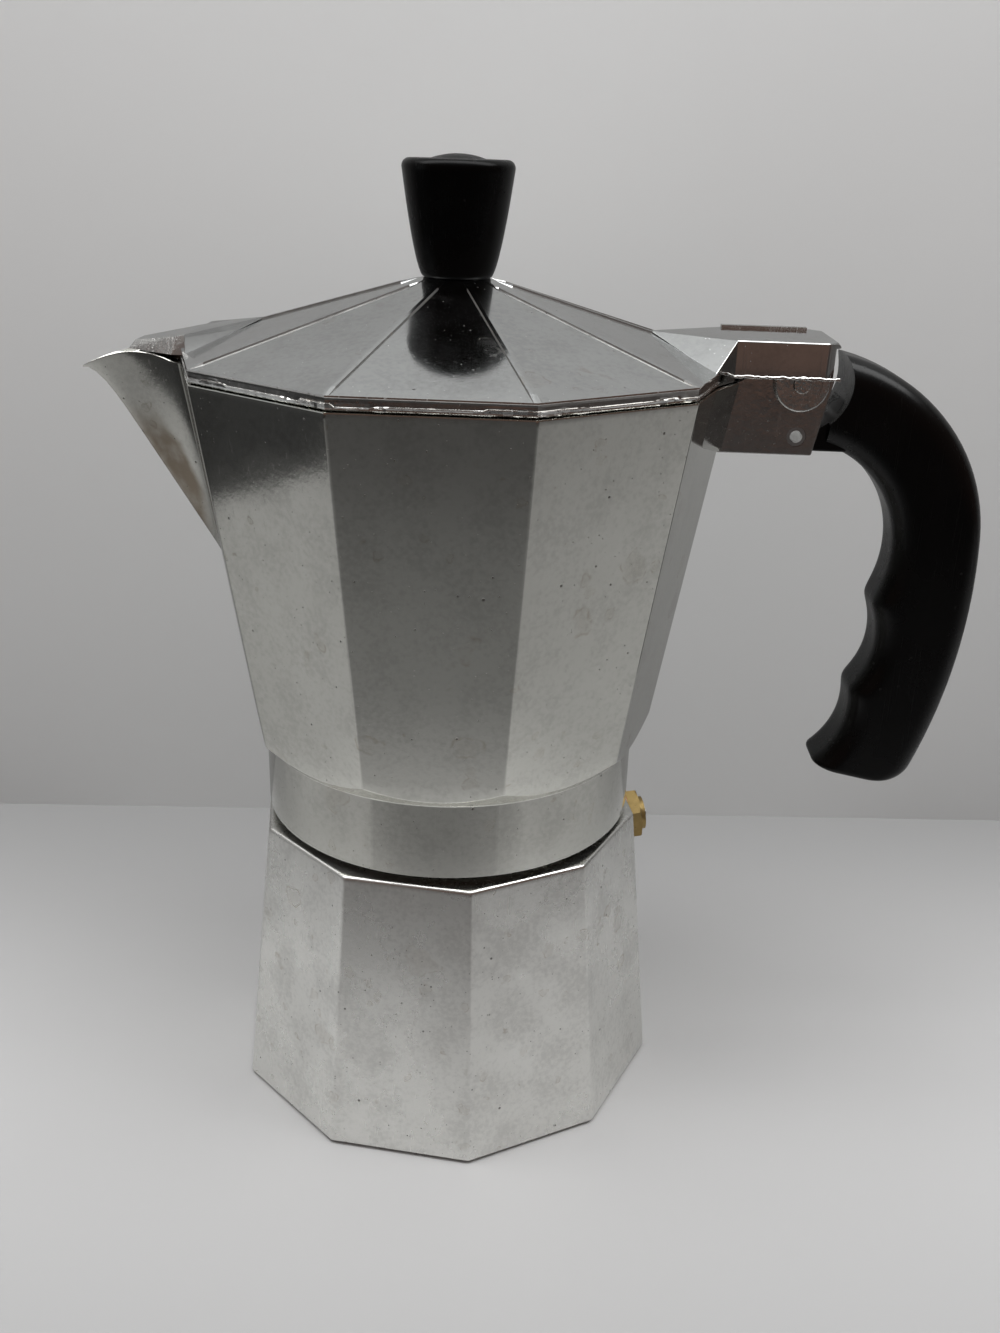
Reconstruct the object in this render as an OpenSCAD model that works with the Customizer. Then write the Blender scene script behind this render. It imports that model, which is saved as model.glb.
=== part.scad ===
// Stovetop moka pot of the six-cup size: a ten-sided boiler and collector joined by a round
// threaded collar, with a hinged pyramid lid, a coffee funnel and a safety valve.
// Origin: centre of the base, on the surface it stands on. +Z is up, the handle is along +X
// and the spout along -X.

/* [Boiler] */
// Number of sides of boiler, collector and lid
sides = 10; // [8:1:10]
// Radius of the boiler across its corners at the base
boiler_base_r = 52.5; // [50:0.5:56]
// Radius of the boiler across its corners at the shoulder
boiler_top_r = 45.3; // [44.5:0.1:47]
// Height of the boiler's shoulder
boiler_h = 68; // [62:1:74]
// Boiler wall
boiler_wall = 3; // [2.4:0.1:3.6]
// Thickness of the boiler's floor
boiler_floor = 3.5; // [2.5:0.1:5]
// Thickness of the boiler's shoulder
shoulder_t = 3.4; // [3:0.1:4]
// Angle between the boiler's corners and the collector's when screwed home
boiler_twist = -7.6; // [-12:0.1:12]
// Height of the chamfer under the boiler's rim
foot_chamfer = 1; // [0.5:0.1:2]

/* [Neck and thread] */
// Height of the threaded neck above the shoulder
neck_h = 13; // [11:0.5:15]
// Radius of the neck between its threads
neck_r = 36.8; // [36:0.1:37.2]
// Radius of the hole in the neck
neck_bore_r = 31.4; // [31:0.1:32.4]
// Pitch of the thread
thread_pitch = 3; // [2.5:0.1:3.5]
// Height of the thread ridges
thread_depth = 1.2; // [0.8:0.1:1.3]

/* [Funnel] */
// Outer radius of the coffee basket
cup_r = 30.6; // [29:0.1:30.8]
// Depth of the coffee basket
cup_depth = 25; // [20:1:28]
// Sheet thickness of the funnel
funnel_sheet = 1; // [0.8:0.1:1.3]
// Radius of the flange that rests on the boiler's neck
cup_flange_r = 35; // [33.5:0.1:35.8]
// Height of the cone under the basket
cone_h = 10; // [7:1:13]
// Outer radius of the funnel's tube
stem_r = 6.2; // [5:0.1:7.5]
// Gap between the funnel's tube and the boiler's floor
stem_foot_gap = 5; // [3:0.5:9]

/* [Gasket and filter] */
// Height of the rubber gasket
gasket_h = 3.4; // [2.5:0.1:4]
// Radius of the hole in the gasket
gasket_hole_r = 27.5; // [26:0.1:29]
// Outer radius of the filter plate
plate_r = 33.6; // [32:0.1:34.4]
// Thickness of the filter plate
plate_t = 1; // [0.8:0.1:1.4]
// Radius of the holes in the filter plate and the strainer
sieve_hole_r = 0.8; // [0.5:0.1:1]
// Rings of holes in the filter plate
sieve_rings = 5; // [3:1:5]

/* [Collector] */
// Outer radius of the round collar
collar_r = 43.1; // [42:0.1:43.6]
// Height of the gap between the shoulder and the collar
collar_gap = 1.6; // [0.8:0.1:3]
// Height of the round collar
collar_h = 18; // [16:0.5:20]
// Rise of the turned chamfer between collar and corners
collar_chamfer = 5; // [3:0.5:7]
// Height of the collector's rim above the base
rim_z = 171.5; // [166:0.5:176]
// Radius of the collector across its corners at the rim
rim_r = 60; // [58:0.5:62]
// Radius of the collector across its corners at the collar
collector_foot_r = 46.7; // [46:0.1:48]
// Collector wall
collector_wall = 2.6; // [2:0.1:3]
// Outer radius of the central column at its foot
column_foot_r = 9.5; // [8.5:0.1:11]
// Outer radius of the central column at its top
column_top_r = 7.4; // [6.8:0.1:8]
// Bore radius of the central column
column_bore_r = 4.4; // [3.5:0.1:5]
// Height of the central column's top above the base
column_top_z = 152; // [140:1:158]
// Height of the two outlet slots in the column
slot_h = 11; // [7:1:14]

/* [Spout] */
// How far the spout's tip stands out from the corner of the rim
spout_reach = 20; // [16:0.5:24]
// Half width of the spout where it leaves the wall
spout_half_w = 11.5; // [9:0.5:14]
// Height of the spout from the start of its keel to the rim
spout_h = 43.5; // [36:0.5:52]
// Rise of the pouring lip above the rim
lip_rise = 1.4; // [0.8:0.1:2]
// Drop of the tip below the lip
tip_drop = 3; // [2:0.1:4]
// Wall of the spout
spout_wall = 2; // [1.6:0.1:2.6]

/* [Handle bracket] */
// Width of the bracket across its cheeks
bracket_w = 18; // [16:0.5:20]
// Thickness of each cheek
cheek_t = 2.4; // [2:0.1:3]
// Distance of the bracket's rear edge beyond the rim's corners, at its top
bracket_reach = 19; // [17:0.5:20]
// Height of the bracket
bracket_h = 15.8; // [14:0.2:17]
// How far the bracket's top stands above the rim
bracket_rise = 0.9; // [0.5:0.1:1.2]
// Slope of the lower edge where the bracket spreads over the wall
root_slope = 16; // [8:1:22]
// Slope of the bracket's rear edge, which stops the lid
lid_stop_angle = 10.9; // [8:0.1:12]

/* [Handle] */
// Thickness of the handle, side to side
handle_w = 17; // [15:0.5:18]
// Depth of the upper bend, from its inner to its outer curve
bend_depth = 19; // [18:0.5:21]
// Outer radius of the upper bend
bend_r = 43; // [41:0.5:44]
// Depth of the grip between its inner and outer curves
grip_depth = 22; // [20:0.2:24]
// Outer radius of the grip's long curve
grip_r = 130; // [125:1:135]
// Distance of the grip's outermost point beyond the rim's corners
grip_reach = 56.3; // [55:0.1:58]
// Height of the grip's outermost point
grip_z = 127.5; // [126:0.5:129]
// Angle covered by the grip below its outermost point
grip_sweep = 22; // [21:0.2:23]
// Slope of the flat end of the handle
end_slope = 11; // [8:0.5:14]
// Rounding of the handle's long edges
handle_round = 5; // [3:0.5:6]
// Radius of the finger grooves
groove_r = 18.2; // [17:0.2:19]
// Depth of the finger grooves
groove_depth = 3.2; // [2:0.1:4]
// Radius of the hollow that leads from the bend into the grip
blend_r = 26; // [26:0.5:30]
// Rounding of the outer corner at the handle's lower end
heel_round = 5; // [3:0.5:6]
// Rounding of the inner corner at the handle's lower end
toe_round = 1.2; // [0.6:0.1:2]
// Radius of the handle's roll pin
roll_pin_r = 2; // [1.6:0.1:2.2]
// Radius of the hole through the roll pin
roll_pin_bore_r = 1.3; // [0.9:0.1:1.4]

/* [Lid] */
// Rise of the lid's faces from its edge to the knob's axis
lid_rise = 17.2; // [14:0.2:20]
// Height of the lid's vertical edge band
lid_band = 2.7; // [2:0.1:3.5]
// Wall of the lid
lid_wall = 1.8; // [1.5:0.1:2.2]
// Depth of the lid's locating rim inside the collector
lid_lip = 2; // [1:0.1:3]
// Width of the flat strips along the lid's ridges
ridge_w = 1.4; // [0.6:0.1:2]
// Height of the hinge block above the rim
hinge_block_h = 8.6; // [8:0.1:9]
// Distance of the hinge pin beyond the rim's corners
hinge_reach = 12.1; // [11:0.1:13]
// Radius of the hinge pin
hinge_pin_r = 1.75; // [1.4:0.05:2]
// Outer radius of the lid's two hinge ears
ear_r = 5.8; // [5:0.1:6.2]
// Thickness of each hinge ear
ear_t = 1.7; // [1.4:0.1:2.2]
// Roof thickness of the hinge block
block_roof = 1.3; // [1:0.1:1.4]
// Length of the spout cover past the rim's corner
cover_reach = 8.5; // [7:0.5:12]
// Half width of the spout cover at the rim
cover_half_w = 11; // [9:0.5:12]
// Thickness of the spout cover
cover_t = 2.1; // [1.8:0.1:3]

/* [Knob] */
// Height of the knob
knob_h = 24; // [20:0.5:28]
// Largest radius of the knob
knob_r = 11.6; // [10:0.1:13]
// Radius of the knob's foot
knob_foot_r = 7; // [6:0.1:8]
// Radius of the knob's screw
knob_screw_r = 2; // [1.5:0.1:2.5]

/* [Safety valve] */
// Distance of the valve's axis below the boiler's shoulder
valve_drop = 8.5; // [8:0.5:13]
// Width of the valve's hexagon across its flats
valve_af = 11.4; // [10.6:0.2:13]
// Thickness of the valve's hexagon
valve_hex_t = 3.2; // [2.6:0.2:4]
// Radius of the valve's threaded shank
valve_shank_r = 3.5; // [3.2:0.1:3.8]
// Radius of the valve's stem
valve_stem_r = 1; // [0.8:0.05:1.2]

/* [Fits] */
// Radial clearance of pins and shanks in their holes
pin_fit = 0.05; // [0.02:0.01:0.1]
// Gap between neighbouring loose pieces
loose_gap = 0.3; // [0.25:0.05:0.5]
// Gap between the closed lid and the rim
lid_seat = 0.1; // [0.05:0.05:0.2]

/* [Hidden] */
$fn = 96;
eps = 0.01;

// A side's distance from the axis, as a share of its corners'.
face = cos(180 / sides);
corner_step = 360 / sides;

// Heights of the joint between boiler and collector, from the bottom up.
neck_top = boiler_h + neck_h;
gasket_z = neck_top + funnel_sheet;
plate_z = gasket_z + gasket_h;
plate_top = plate_z + plate_t;
collar_z = boiler_h + collar_gap;
collar_top = collar_z + collar_h;

// Collar bore and gasket groove.
thread_r = neck_r + thread_depth;
collar_bore_r = thread_r + loose_gap;
gasket_r = cup_flange_r + 1;

// Collector.
collector_slope = (rim_r - collector_foot_r) / (rim_z - collar_top);
floor_top = collar_top + 3.4;
recess_r = plate_r - 2.4;
recess_h = 1.6;
dome_h = 13;

// Bracket and hinge.
bracket_top = rim_z + bracket_rise;
bracket_bottom = bracket_top - bracket_h;
bracket_x = rim_r + bracket_reach;
hinge_x = rim_r + hinge_reach;
hinge_z = rim_z + 0.1;
block_top = rim_z + hinge_block_h;
block_back = hinge_x + 7.6;
block_front = rim_r - 1.8;
ear_y = bracket_w / 2 + loose_gap;
block_half_w = ear_y + ear_t;
// The circle that the block's rear edge sweeps, with room to spare.
swing_r = norm([block_back - hinge_x, block_top - 1 - hinge_z]) + 0.4;

// Handle: centres of its two curves, which meet at one tangent.
tangent_angle = 5;
grip_x = rim_r + grip_reach;
grip_cx = grip_x - grip_r;
bend_cx = grip_cx + (grip_r - bend_r) * cos(tangent_angle);
bend_cz = grip_z + (grip_r - bend_r) * sin(tangent_angle);
bend_inner_r = bend_r - bend_depth;
grip_inner_r = grip_r - grip_depth;
groove_angles = [-8.2, -18.7];
// The blend's centre, behind the bend's, so that it cuts a hair into the bend's inner face.
blend_back = blend_r - bend_inner_r - 0.2;
// Where the flat end meets the inner curve, and the angle there between it and the last groove.
end_turn = grip_sweep - end_slope;
toe_x = grip_r * cos(end_turn) - sqrt(pow(grip_inner_r, 2) - pow(grip_r * sin(end_turn), 2));
toe_angle = 45;
tongue_w = bracket_w - 2 * cheek_t - 2 * loose_gap;
roll_pin_x = hinge_x + 0.3;
roll_pin_z = bracket_bottom + 3.9;

// Lid.
lid_z = rim_z + lid_seat;
band_top = lid_z + lid_band;
lid_apex = band_top + lid_rise;
lid_slope = lid_rise / rim_r;
lip_r = rim_r - collector_wall / face - 1.2;
ramp_start = rim_r * 0.68;
ramp_top = lid_apex - lid_slope * ramp_start + 0.3;
knob_z = lid_apex - lid_slope * knob_foot_r;
seat_r = knob_foot_r + 0.2;
insert_r = knob_screw_r + 2;
insert_h = 9;
screw_head_r = knob_screw_r * 1.9;
relief_half_w = spout_half_w * lip_share() + 2 * loose_gap;
seat_floor = knob_z - 3;

// Safety valve, on the middle of the boiler's side next to the handle.
valve_azimuth = boiler_twist + corner_step / 2;
valve_z = boiler_h - valve_drop;
boiler_slope = (boiler_base_r - boiler_top_r) * face / boiler_h;
valve_x = boiler_base_r * face - boiler_slope * valve_z;
washer_t = 1;
washer_r = valve_af / 2 + 0.6;
hex_out = washer_t + valve_hex_t;
cap_t = 1.2;
cap_r = valve_af / 2 - 1.6;
nut_t = 2.6;
nut_af = 2 * valve_shank_r + 2;
shank_in = boiler_wall + nut_t + 2;
valve_bore_r = valve_shank_r - 1.4;
plug_r = valve_bore_r - 0.1;
seat_t = 2.2;
plug_t = 2;
spring_wire = 0.25;
spring_turns = 6;

// --- Shapes used more than once ---------------------------------------------------------

// Ten-sided cone, its corner radii given at the heights z0 and z1.
module ten(z0, z1, r0, r1) {
    translate([0, 0, z0]) cylinder(h = z1 - z0, r1 = r0, r2 = r1, $fn = sides);
}

// Disc with rings of round holes, from z = 0 up.
module sieve(r, t, rings, spacing) {
    difference() {
        cylinder(h = t, r = r);
        translate([0, 0, -1]) cylinder(h = t + 2, r = sieve_hole_r, $fn = 16);
        for (ring = [1:rings], i = [0:ring * 6 - 1])
            rotate(i * 60 / ring) translate([ring * spacing, 0, -1])
                cylinder(h = t + 2, r = sieve_hole_r, $fn = 16);
    }
}

// A bar along Y, centred on the mid-plane.
module cross_bar(x, z, r, w) {
    translate([x, w / 2, z]) rotate([90, 0, 0]) cylinder(h = w, r = r);
}

// Sets its children on the valve's axis, with +Z outward and z = 0 on the boiler's side.
module at_valve() {
    rotate(valve_azimuth) translate([valve_x, 0, valve_z])
        rotate([0, 90 - atan(boiler_slope), 0]) children();
}

// Points of one level of the spout: its plan outline from one side to the other.
// inset is the wall taken off for the channel inside.
function spout_steps() = 12;
// Share of the spout's half width that lies outside the lid's edge, where the lip may rise.
function lip_share() = 5 / 6;
function spout_share(i) = 1 - abs(2 * i / spout_steps() - 1);
function spout_out(level, share, inset) =
    max(0, spout_reach * level + 1.5 * pow(level, 8) - inset * 1.6) * pow(share, 1.5);
function lip_z(level, share) =
    rim_z - spout_h + spout_h * level
    + pow(level, 12) * (lip_rise * sin(180 * min(1, max(0, share - 1 + lip_share()) * 1.32))
                        - tip_drop * pow(share, 8));
function spout_point(level, i, inset) =
    let (share = spout_share(i),
         y = (2 * i / spout_steps() - 1) * max(0.2, (spout_half_w - inset) * (0.15 + 0.85 * level)),
         corner = rim_r - collector_slope * spout_h * (1 - level),
         side = corner - abs(y) * tan(180 / sides) - inset)
    [-(side + spout_out(level, share, inset)), y, lip_z(level, share)];

// Solid under the spout's outline, as rings of points from the keel's start up to the lip.
module spout_body(inset, back, z_add) {
    levels = 14;
    n = spout_steps() + 1;
    ring = n + 2;
    points = [for (k = [0:levels])
        let (level = k / levels)
        each concat(
            [for (i = [0:n - 1])
                let (p = spout_point(level, i, inset))
                [p.x, p.y, p.z + (k == levels ? z_add : 0)]],
            [let (p = spout_point(level, n - 1, inset))
                [-back, p.y, rim_z - spout_h * (1 - level) + (k == levels ? z_add : 0)],
             let (p = spout_point(level, 0, inset))
                [-back, p.y, rim_z - spout_h * (1 - level) + (k == levels ? z_add : 0)]])];
    sides_quads = [for (k = [0:levels - 1], i = [0:ring - 1])
        let (j = (i + 1) % ring)
        each [[k * ring + i, k * ring + j, (k + 1) * ring + i],
              [k * ring + j, (k + 1) * ring + j, (k + 1) * ring + i]]];
    mid = levels * ring;
    top_fan = [for (i = [1:ring - 2]) [mid + ring - 1, mid + i - 1, mid + i]];
    bottom_fan = [for (i = [1:ring - 2]) [ring - 1, i, i - 1]];
    polyhedron(points = points, faces = concat(sides_quads, top_fan, bottom_fan), convexity = 6);
}

// --- Boiler -------------------------------------------------------------------------------

module boiler() color("silver") difference() {
    union() {
        rotate(boiler_twist) {
            ten(0, foot_chamfer, boiler_base_r - foot_chamfer, boiler_base_r);
            difference() {
                ten(0, boiler_h, boiler_base_r, boiler_top_r);
                translate([0, 0, -eps]) difference() {
                    cylinder(h = foot_chamfer, r = boiler_base_r * 2);
                    cylinder(h = foot_chamfer * 3, r = boiler_base_r * face, $fn = sides);
                }
            }
        }
        translate([0, 0, boiler_h - eps]) cylinder(h = neck_h + eps, r = neck_r);
        // Thread ridges, one a pitch apart.
        for (turn = [0:floor((neck_h - 3) / thread_pitch) - 1])
            translate([0, 0, boiler_h + 2.4 + turn * thread_pitch])
                rotate_extrude() polygon([
                    [neck_r - 1, -thread_depth], [neck_r, -thread_depth],
                    [thread_r, -0.2], [thread_r, 0.2],
                    [neck_r, thread_depth], [neck_r - 1, thread_depth]]);
    }
    rotate(boiler_twist)
        ten(boiler_floor, boiler_h - shoulder_t,
            boiler_base_r - boiler_wall / face - boiler_floor * boiler_slope / face,
            boiler_top_r - boiler_wall / face + shoulder_t * boiler_slope / face);
    translate([0, 0, boiler_h - shoulder_t - 1])
        cylinder(h = neck_h + shoulder_t + 2, r = neck_bore_r);
    at_valve() translate([0, 0, -boiler_wall * 3])
        cylinder(h = boiler_wall * 6, r = valve_shank_r + pin_fit);
}

// --- Collector ----------------------------------------------------------------------------

module collector_shell() {
    intersection() {
        ten(collar_top, rim_z, collector_foot_r, rim_r);
        // Turned chamfer that cuts the corners back to the collar.
        union() {
            translate([0, 0, collar_top])
                cylinder(h = collar_chamfer, r1 = collar_r, r2 = collar_r + collar_chamfer);
            translate([0, 0, collar_top + collar_chamfer])
                cylinder(h = rim_z, r = rim_r + 1);
        }
    }
    translate([0, 0, collar_z]) cylinder(h = collar_h + 1, r = collar_r);
    spout_body(0, rim_r * 0.75, 0);
    bracket();
}

// Two cheeks on a root that spreads over the wall on both sides.
module bracket() {
    side_r = rim_r - collector_slope * bracket_h;
    root_x = rim_r + 1.2;
    back_low = bracket_x - bracket_h * tan(lid_stop_angle);
    difference() {
        translate([0, 0, bracket_bottom]) linear_extrude(rim_z - bracket_bottom)
            polygon([[side_r * cos(corner_step) - 0.6, -side_r * sin(corner_step) + 0.6],
                     [rim_r - 1.4, -bracket_w / 2], [root_x, -bracket_w / 2],
                     [root_x, bracket_w / 2], [rim_r - 1.4, bracket_w / 2],
                     [side_r * cos(corner_step) - 0.6, side_r * sin(corner_step) - 0.6]]);
        for (side = [0, 1])
            mirror([0, side, 0]) translate([0, bracket_w / 2, bracket_bottom])
                rotate([root_slope, 0, 0]) translate([0, 0, -rim_r]) cube([rim_r * 2, rim_r, rim_r]);
    }
    for (side = [-1, 1])
        translate([0, side * (bracket_w - cheek_t) / 2 + cheek_t / 2, 0])
            rotate([90, 0, 0]) linear_extrude(cheek_t)
                polygon([[rim_r - 4, bracket_bottom], [back_low, bracket_bottom],
                         [bracket_x, bracket_top], [rim_r + 0.8, bracket_top],
                         [rim_r - 0.6, rim_z], [rim_r - 4, rim_z]]);
}

module column() {
    top_h = 3;
    translate([0, 0, floor_top]) cylinder(h = dome_h, r1 = collar_bore_r - 4, r2 = column_foot_r);
    translate([0, 0, floor_top])
        cylinder(h = column_top_z - floor_top, r1 = column_foot_r + 1, r2 = column_top_r);
    translate([0, 0, column_top_z]) cylinder(h = top_h, r1 = column_top_r, r2 = column_top_r - 2);
}

module collector() color("silver") difference() {
    union() {
        difference() {
            collector_shell();
            // The chamber and the channel into the spout.
            ten(floor_top, rim_z + 1,
                collector_foot_r + collector_slope * (floor_top - collar_top) - collector_wall / face,
                rim_r + collector_slope - collector_wall / face);
            spout_body(spout_wall, rim_r * 0.5, 3);
        }
        column();
    }
    // Collar: thread bore, gasket groove, filter seat and the dome that feeds the column.
    translate([0, 0, collar_z - 1]) cylinder(h = gasket_z - collar_z + 1, r = collar_bore_r);
    translate([0, 0, gasket_z - eps]) cylinder(h = gasket_h + plate_t + eps, r = gasket_r + loose_gap);
    translate([0, 0, plate_top - eps]) cylinder(h = recess_h + eps, r = recess_r);
    translate([0, 0, plate_top + recess_h - eps])
        cylinder(h = dome_h - 1, r1 = recess_r, r2 = column_bore_r);
    translate([0, 0, plate_top]) cylinder(h = column_top_z - plate_top - 1, r = column_bore_r);
    // Two outlet slots across the column's top.
    translate([-column_bore_r * 0.7, -column_foot_r, column_top_z - slot_h - 2])
        cube([column_bore_r * 1.4, column_foot_r * 2, slot_h]);
    cross_bar(hinge_x, hinge_z, hinge_pin_r + pin_fit, bracket_w + 2);
    cross_bar(roll_pin_x, roll_pin_z, roll_pin_r + pin_fit, bracket_w + 2);
}

// --- Handle -------------------------------------------------------------------------------

// Cross-section of the handle: a band from r0 to r1 with rounded corners, inset all round.
module band(r0, r1, inset = 0) {
    d = r1 - r0 - 2 * inset;
    w = handle_w - 2 * inset;
    translate([r0 + inset, -w / 2]) union() {
        translate([handle_round, 0]) square([d - 2 * handle_round, w]);
        translate([0, handle_round]) square([d, w - 2 * handle_round]);
        for (x = [handle_round, d - handle_round], y = [handle_round, w - handle_round])
            translate([x, y]) circle(handle_round);
    }
}

// Sets a rotate_extrude on an axis along Y through (x, z); 0 degrees is +X and 90 is +Z.
module around(x, z, from, sweep) {
    translate([x, 0, z]) rotate([90, 0, 0]) rotate([0, 0, from]) rotate_extrude(angle = sweep)
        children();
}

// Cutter with a round edge of radius r about (x, z), which leaves the handle's edges rounded.
module hollow(x, z, r) {
    translate([x, 0, z]) rotate([90, 0, 0]) rotate_extrude() difference() {
        translate([0, -handle_w]) square([r + handle_round, 2 * handle_w]);
        band(r, r * 3);
    }
}

// One finger groove, at an angle about the grip's centre.
module groove(angle) {
    reach = grip_inner_r + groove_depth - groove_r;
    hollow(grip_cx + reach * cos(angle), grip_z + reach * sin(angle), groove_r);
}

// Draws its children in the handle's mid-plane, with the flat end along the x axis, the heel at
// the origin and the handle above.
module at_end() {
    translate([grip_cx + grip_r * cos(grip_sweep), 0, grip_z - grip_r * sin(grip_sweep)])
        rotate([90, 0, 0]) rotate([0, 0, -end_slope]) linear_extrude(handle_w * 2, center = true)
            children();
}

// Direction at an angle in the plane.
function toward(angle) = [cos(angle), sin(angle)];

// What a rounding of radius r takes off a corner at the origin, between the angles a and b.
module corner_cut(a, b, r) {
    along = r / tan((b - a) / 2);
    centre = along / cos((b - a) / 2) * toward((a + b) / 2);
    difference() {
        polygon([centre, along * toward(a) + toward(a - 90), -2 * toward((a + b) / 2),
                 along * toward(b) + toward(b + 90)]);
        translate(centre) circle(r);
    }
}

module handle() color("#1a1a1a") difference() {
    union() {
        intersection() {
            difference() {
                union() {
                    // The bend is a hair slimmer and runs into the grip, so their faces don't
                    // coincide.
                    around(bend_cx, bend_cz, tangent_angle - 0.2, 92 - tangent_angle)
                        band(bend_inner_r, bend_r, 0.2);
                    around(grip_cx, grip_z, -grip_sweep - 6, grip_sweep + 6 + tangent_angle)
                        band(grip_inner_r, grip_r);
                }
                for (angle = groove_angles) groove(angle);
                // Hollow that leads from the bend to the first groove.
                intersection() {
                    hollow(bend_cx - blend_back * cos(tangent_angle),
                           bend_cz - blend_back * sin(tangent_angle), blend_r);
                    translate([bend_cx, 0, bend_cz]) rotate([0, -tangent_angle - 1.5, 0])
                        translate([0, -handle_w, -grip_r]) cube([bend_r * 2, 2 * handle_w, grip_r]);
                }
                at_end() union() {
                    translate([-grip_r, -grip_r]) square([grip_r * 2, grip_r]);
                    corner_cut(90 - grip_sweep + end_slope, 180, heel_round);
                    translate([-toe_x, 0]) corner_cut(0, toe_angle, toe_round);
                }
            }
            // Clear of the bracket's cheeks.
            translate([bracket_x + loose_gap, -handle_w, 0]) cube([grip_x, 2 * handle_w, rim_z * 2]);
        }
        // Tongue between the cheeks.
        translate([rim_r + 2.4, -tongue_w / 2, bracket_bottom + 0.4])
            cube([bracket_x - rim_r + 3, tongue_w, bracket_h - 5]);
    }
    // Room for the hinge block when the lid swings back.
    intersection() {
        cross_bar(hinge_x, hinge_z, swing_r, handle_w * 2);
        translate([hinge_x + 4.1, -handle_w, 0]) cube([swing_r * 2, handle_w * 2, rim_z * 2]);
    }
    cross_bar(roll_pin_x, roll_pin_z, roll_pin_r + pin_fit, bracket_w);
}

module handle_pin() color("dimgray") difference() {
    cross_bar(roll_pin_x, roll_pin_z, roll_pin_r, bracket_w - 0.6);
    cross_bar(roll_pin_x, roll_pin_z, roll_pin_bore_r, bracket_w + 2);
}

// --- Lid ----------------------------------------------------------------------------------

// Pyramid with flat strips along its ridges, from its band's top up.
module pyramid(r, h) {
    strip_cut = ridge_w / 2 * tan(180 / sides);
    intersection() {
        cylinder(h = h, r1 = r, r2 = 0, $fn = sides);
        rotate(corner_step / 2)
            cylinder(h = h * 1.002, r1 = (r - strip_cut) / face, r2 = 0, $fn = sides);
    }
}

// Ramp from a ridge out to the rim: a flat top that widens to half_w, with sloping sides.
module ramp(start, end, half_w, top_start, top_end) {
    foot = half_w + 8;
    under = band_top - lid_wall;
    foot_x = rim_r - foot * tan(180 / sides) - 0.6;
    hull() polyhedron(
        points = [[start, 0, top_start], [start, 0, top_start - lid_wall],
                  [end, -half_w, top_end], [end, half_w, top_end],
                  [foot_x, -foot, band_top], [foot_x, foot, band_top],
                  [foot_x, -foot, under], [foot_x, foot, under],
                  [end, -half_w, under], [end, half_w, under]],
        faces = [[0, 2, 3], [0, 4, 2], [0, 3, 5], [1, 7, 6], [0, 1, 6, 4], [0, 5, 7, 1],
                 [2, 4, 6, 8], [3, 9, 7, 5], [2, 8, 9, 3], [6, 7, 9, 8]]);
}

module spout_cover() {
    base = lid_z + lip_rise + 0.1;
    tip = rim_r + cover_reach;
    hull() {
        for (side = [-1, 1]) {
            translate([-rim_r + 5, side * (cover_half_w - 1), base])
                cylinder(h = cover_t + 2, r = 1, $fn = 24);
            translate([-rim_r + 2, side * (cover_half_w - 1), base])
                cylinder(h = cover_t + 1.4, r = 1, $fn = 24);
            translate([-tip, side * cover_half_w * 0.32, base])
                cylinder(h = cover_t - 0.4, r = 1, $fn = 24);
        }
    }
}

// Hollow block over the bracket, open below and behind, with one ear each side.
module hinge_block() {
    corner = 3;
    roof_z = block_top - block_roof;
    difference() {
        translate([0, 0, bracket_top + 0.2]) linear_extrude(block_top - bracket_top - 0.2)
            polygon([[block_front - 0.6, -block_half_w], [block_back - corner, -block_half_w],
                     [block_back, -block_half_w + corner], [block_back, block_half_w - corner],
                     [block_back - corner, block_half_w], [block_front - 0.6, block_half_w]]);
        translate([block_front - 0.2, -ear_y, bracket_top - 1])
            cube([block_back, 2 * ear_y, roof_z - bracket_top + 1]);
        // Rear edge of the roof, bevelled to the swing circle.
        translate([block_back, -block_half_w - 1, block_top - 1]) rotate([0, -45, 0])
            cube([4, 2 * block_half_w + 2, 4]);
    }
    for (side = [-1, 1])
        translate([hinge_x, side * (ear_y + ear_t / 2) + ear_t / 2, hinge_z])
            rotate([90, 0, 0]) cylinder(h = ear_t, r = ear_r);
}

module lid() color("lightgray") difference() {
    union() {
        difference() {
            union() {
                ten(lid_z, band_top, rim_r, rim_r);
                translate([0, 0, band_top]) pyramid(rim_r, lid_rise);
            }
            ten(lid_z - 1, band_top - 0.6, rim_r - 2.6, rim_r - 2.6);
            translate([0, 0, band_top - lid_wall]) cylinder(
                h = lid_rise - lid_wall, r1 = rim_r - 2.6, r2 = 2, $fn = sides);
            // Room for the spout's raised lip.
            translate([-rim_r - 1, -relief_half_w, lid_z - 1])
                cube([8, 2 * relief_half_w, 1 + lip_rise + 0.1]);
        }
        // Locating rim inside the collector's mouth, left out at the spout.
        difference() {
            ten(lid_z - lid_lip, band_top, lip_r, lip_r);
            ten(lid_z - lid_lip - 1, band_top + 1, lip_r - 1.6, lip_r - 1.6);
            translate([-rim_r * 2, -spout_half_w - 3, 0])
                cube([rim_r * 1.6, 2 * spout_half_w + 6, rim_z * 2]);
        }
        ramp(ramp_start, block_front, block_half_w, ramp_top, block_top);
        mirror([1, 0, 0]) ramp(ramp_start, rim_r - 4.6, cover_half_w, ramp_top, rim_z + 5.8);
        spout_cover();
        hinge_block();
        // Seat of the knob.
        translate([0, 0, seat_floor]) cylinder(h = knob_z - seat_floor, r = seat_r);
    }
    translate([0, 0, knob_z]) cylinder(h = lid_rise, r = rim_r);
    translate([0, 0, seat_floor - 1]) cylinder(h = lid_rise, r = knob_screw_r + pin_fit);
    cross_bar(hinge_x, hinge_z, hinge_pin_r + pin_fit, block_half_w * 2 + 2);
}

module hinge_pin() color("gray")
    cross_bar(hinge_x, hinge_z, hinge_pin_r, block_half_w * 2 + 0.6);

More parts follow.
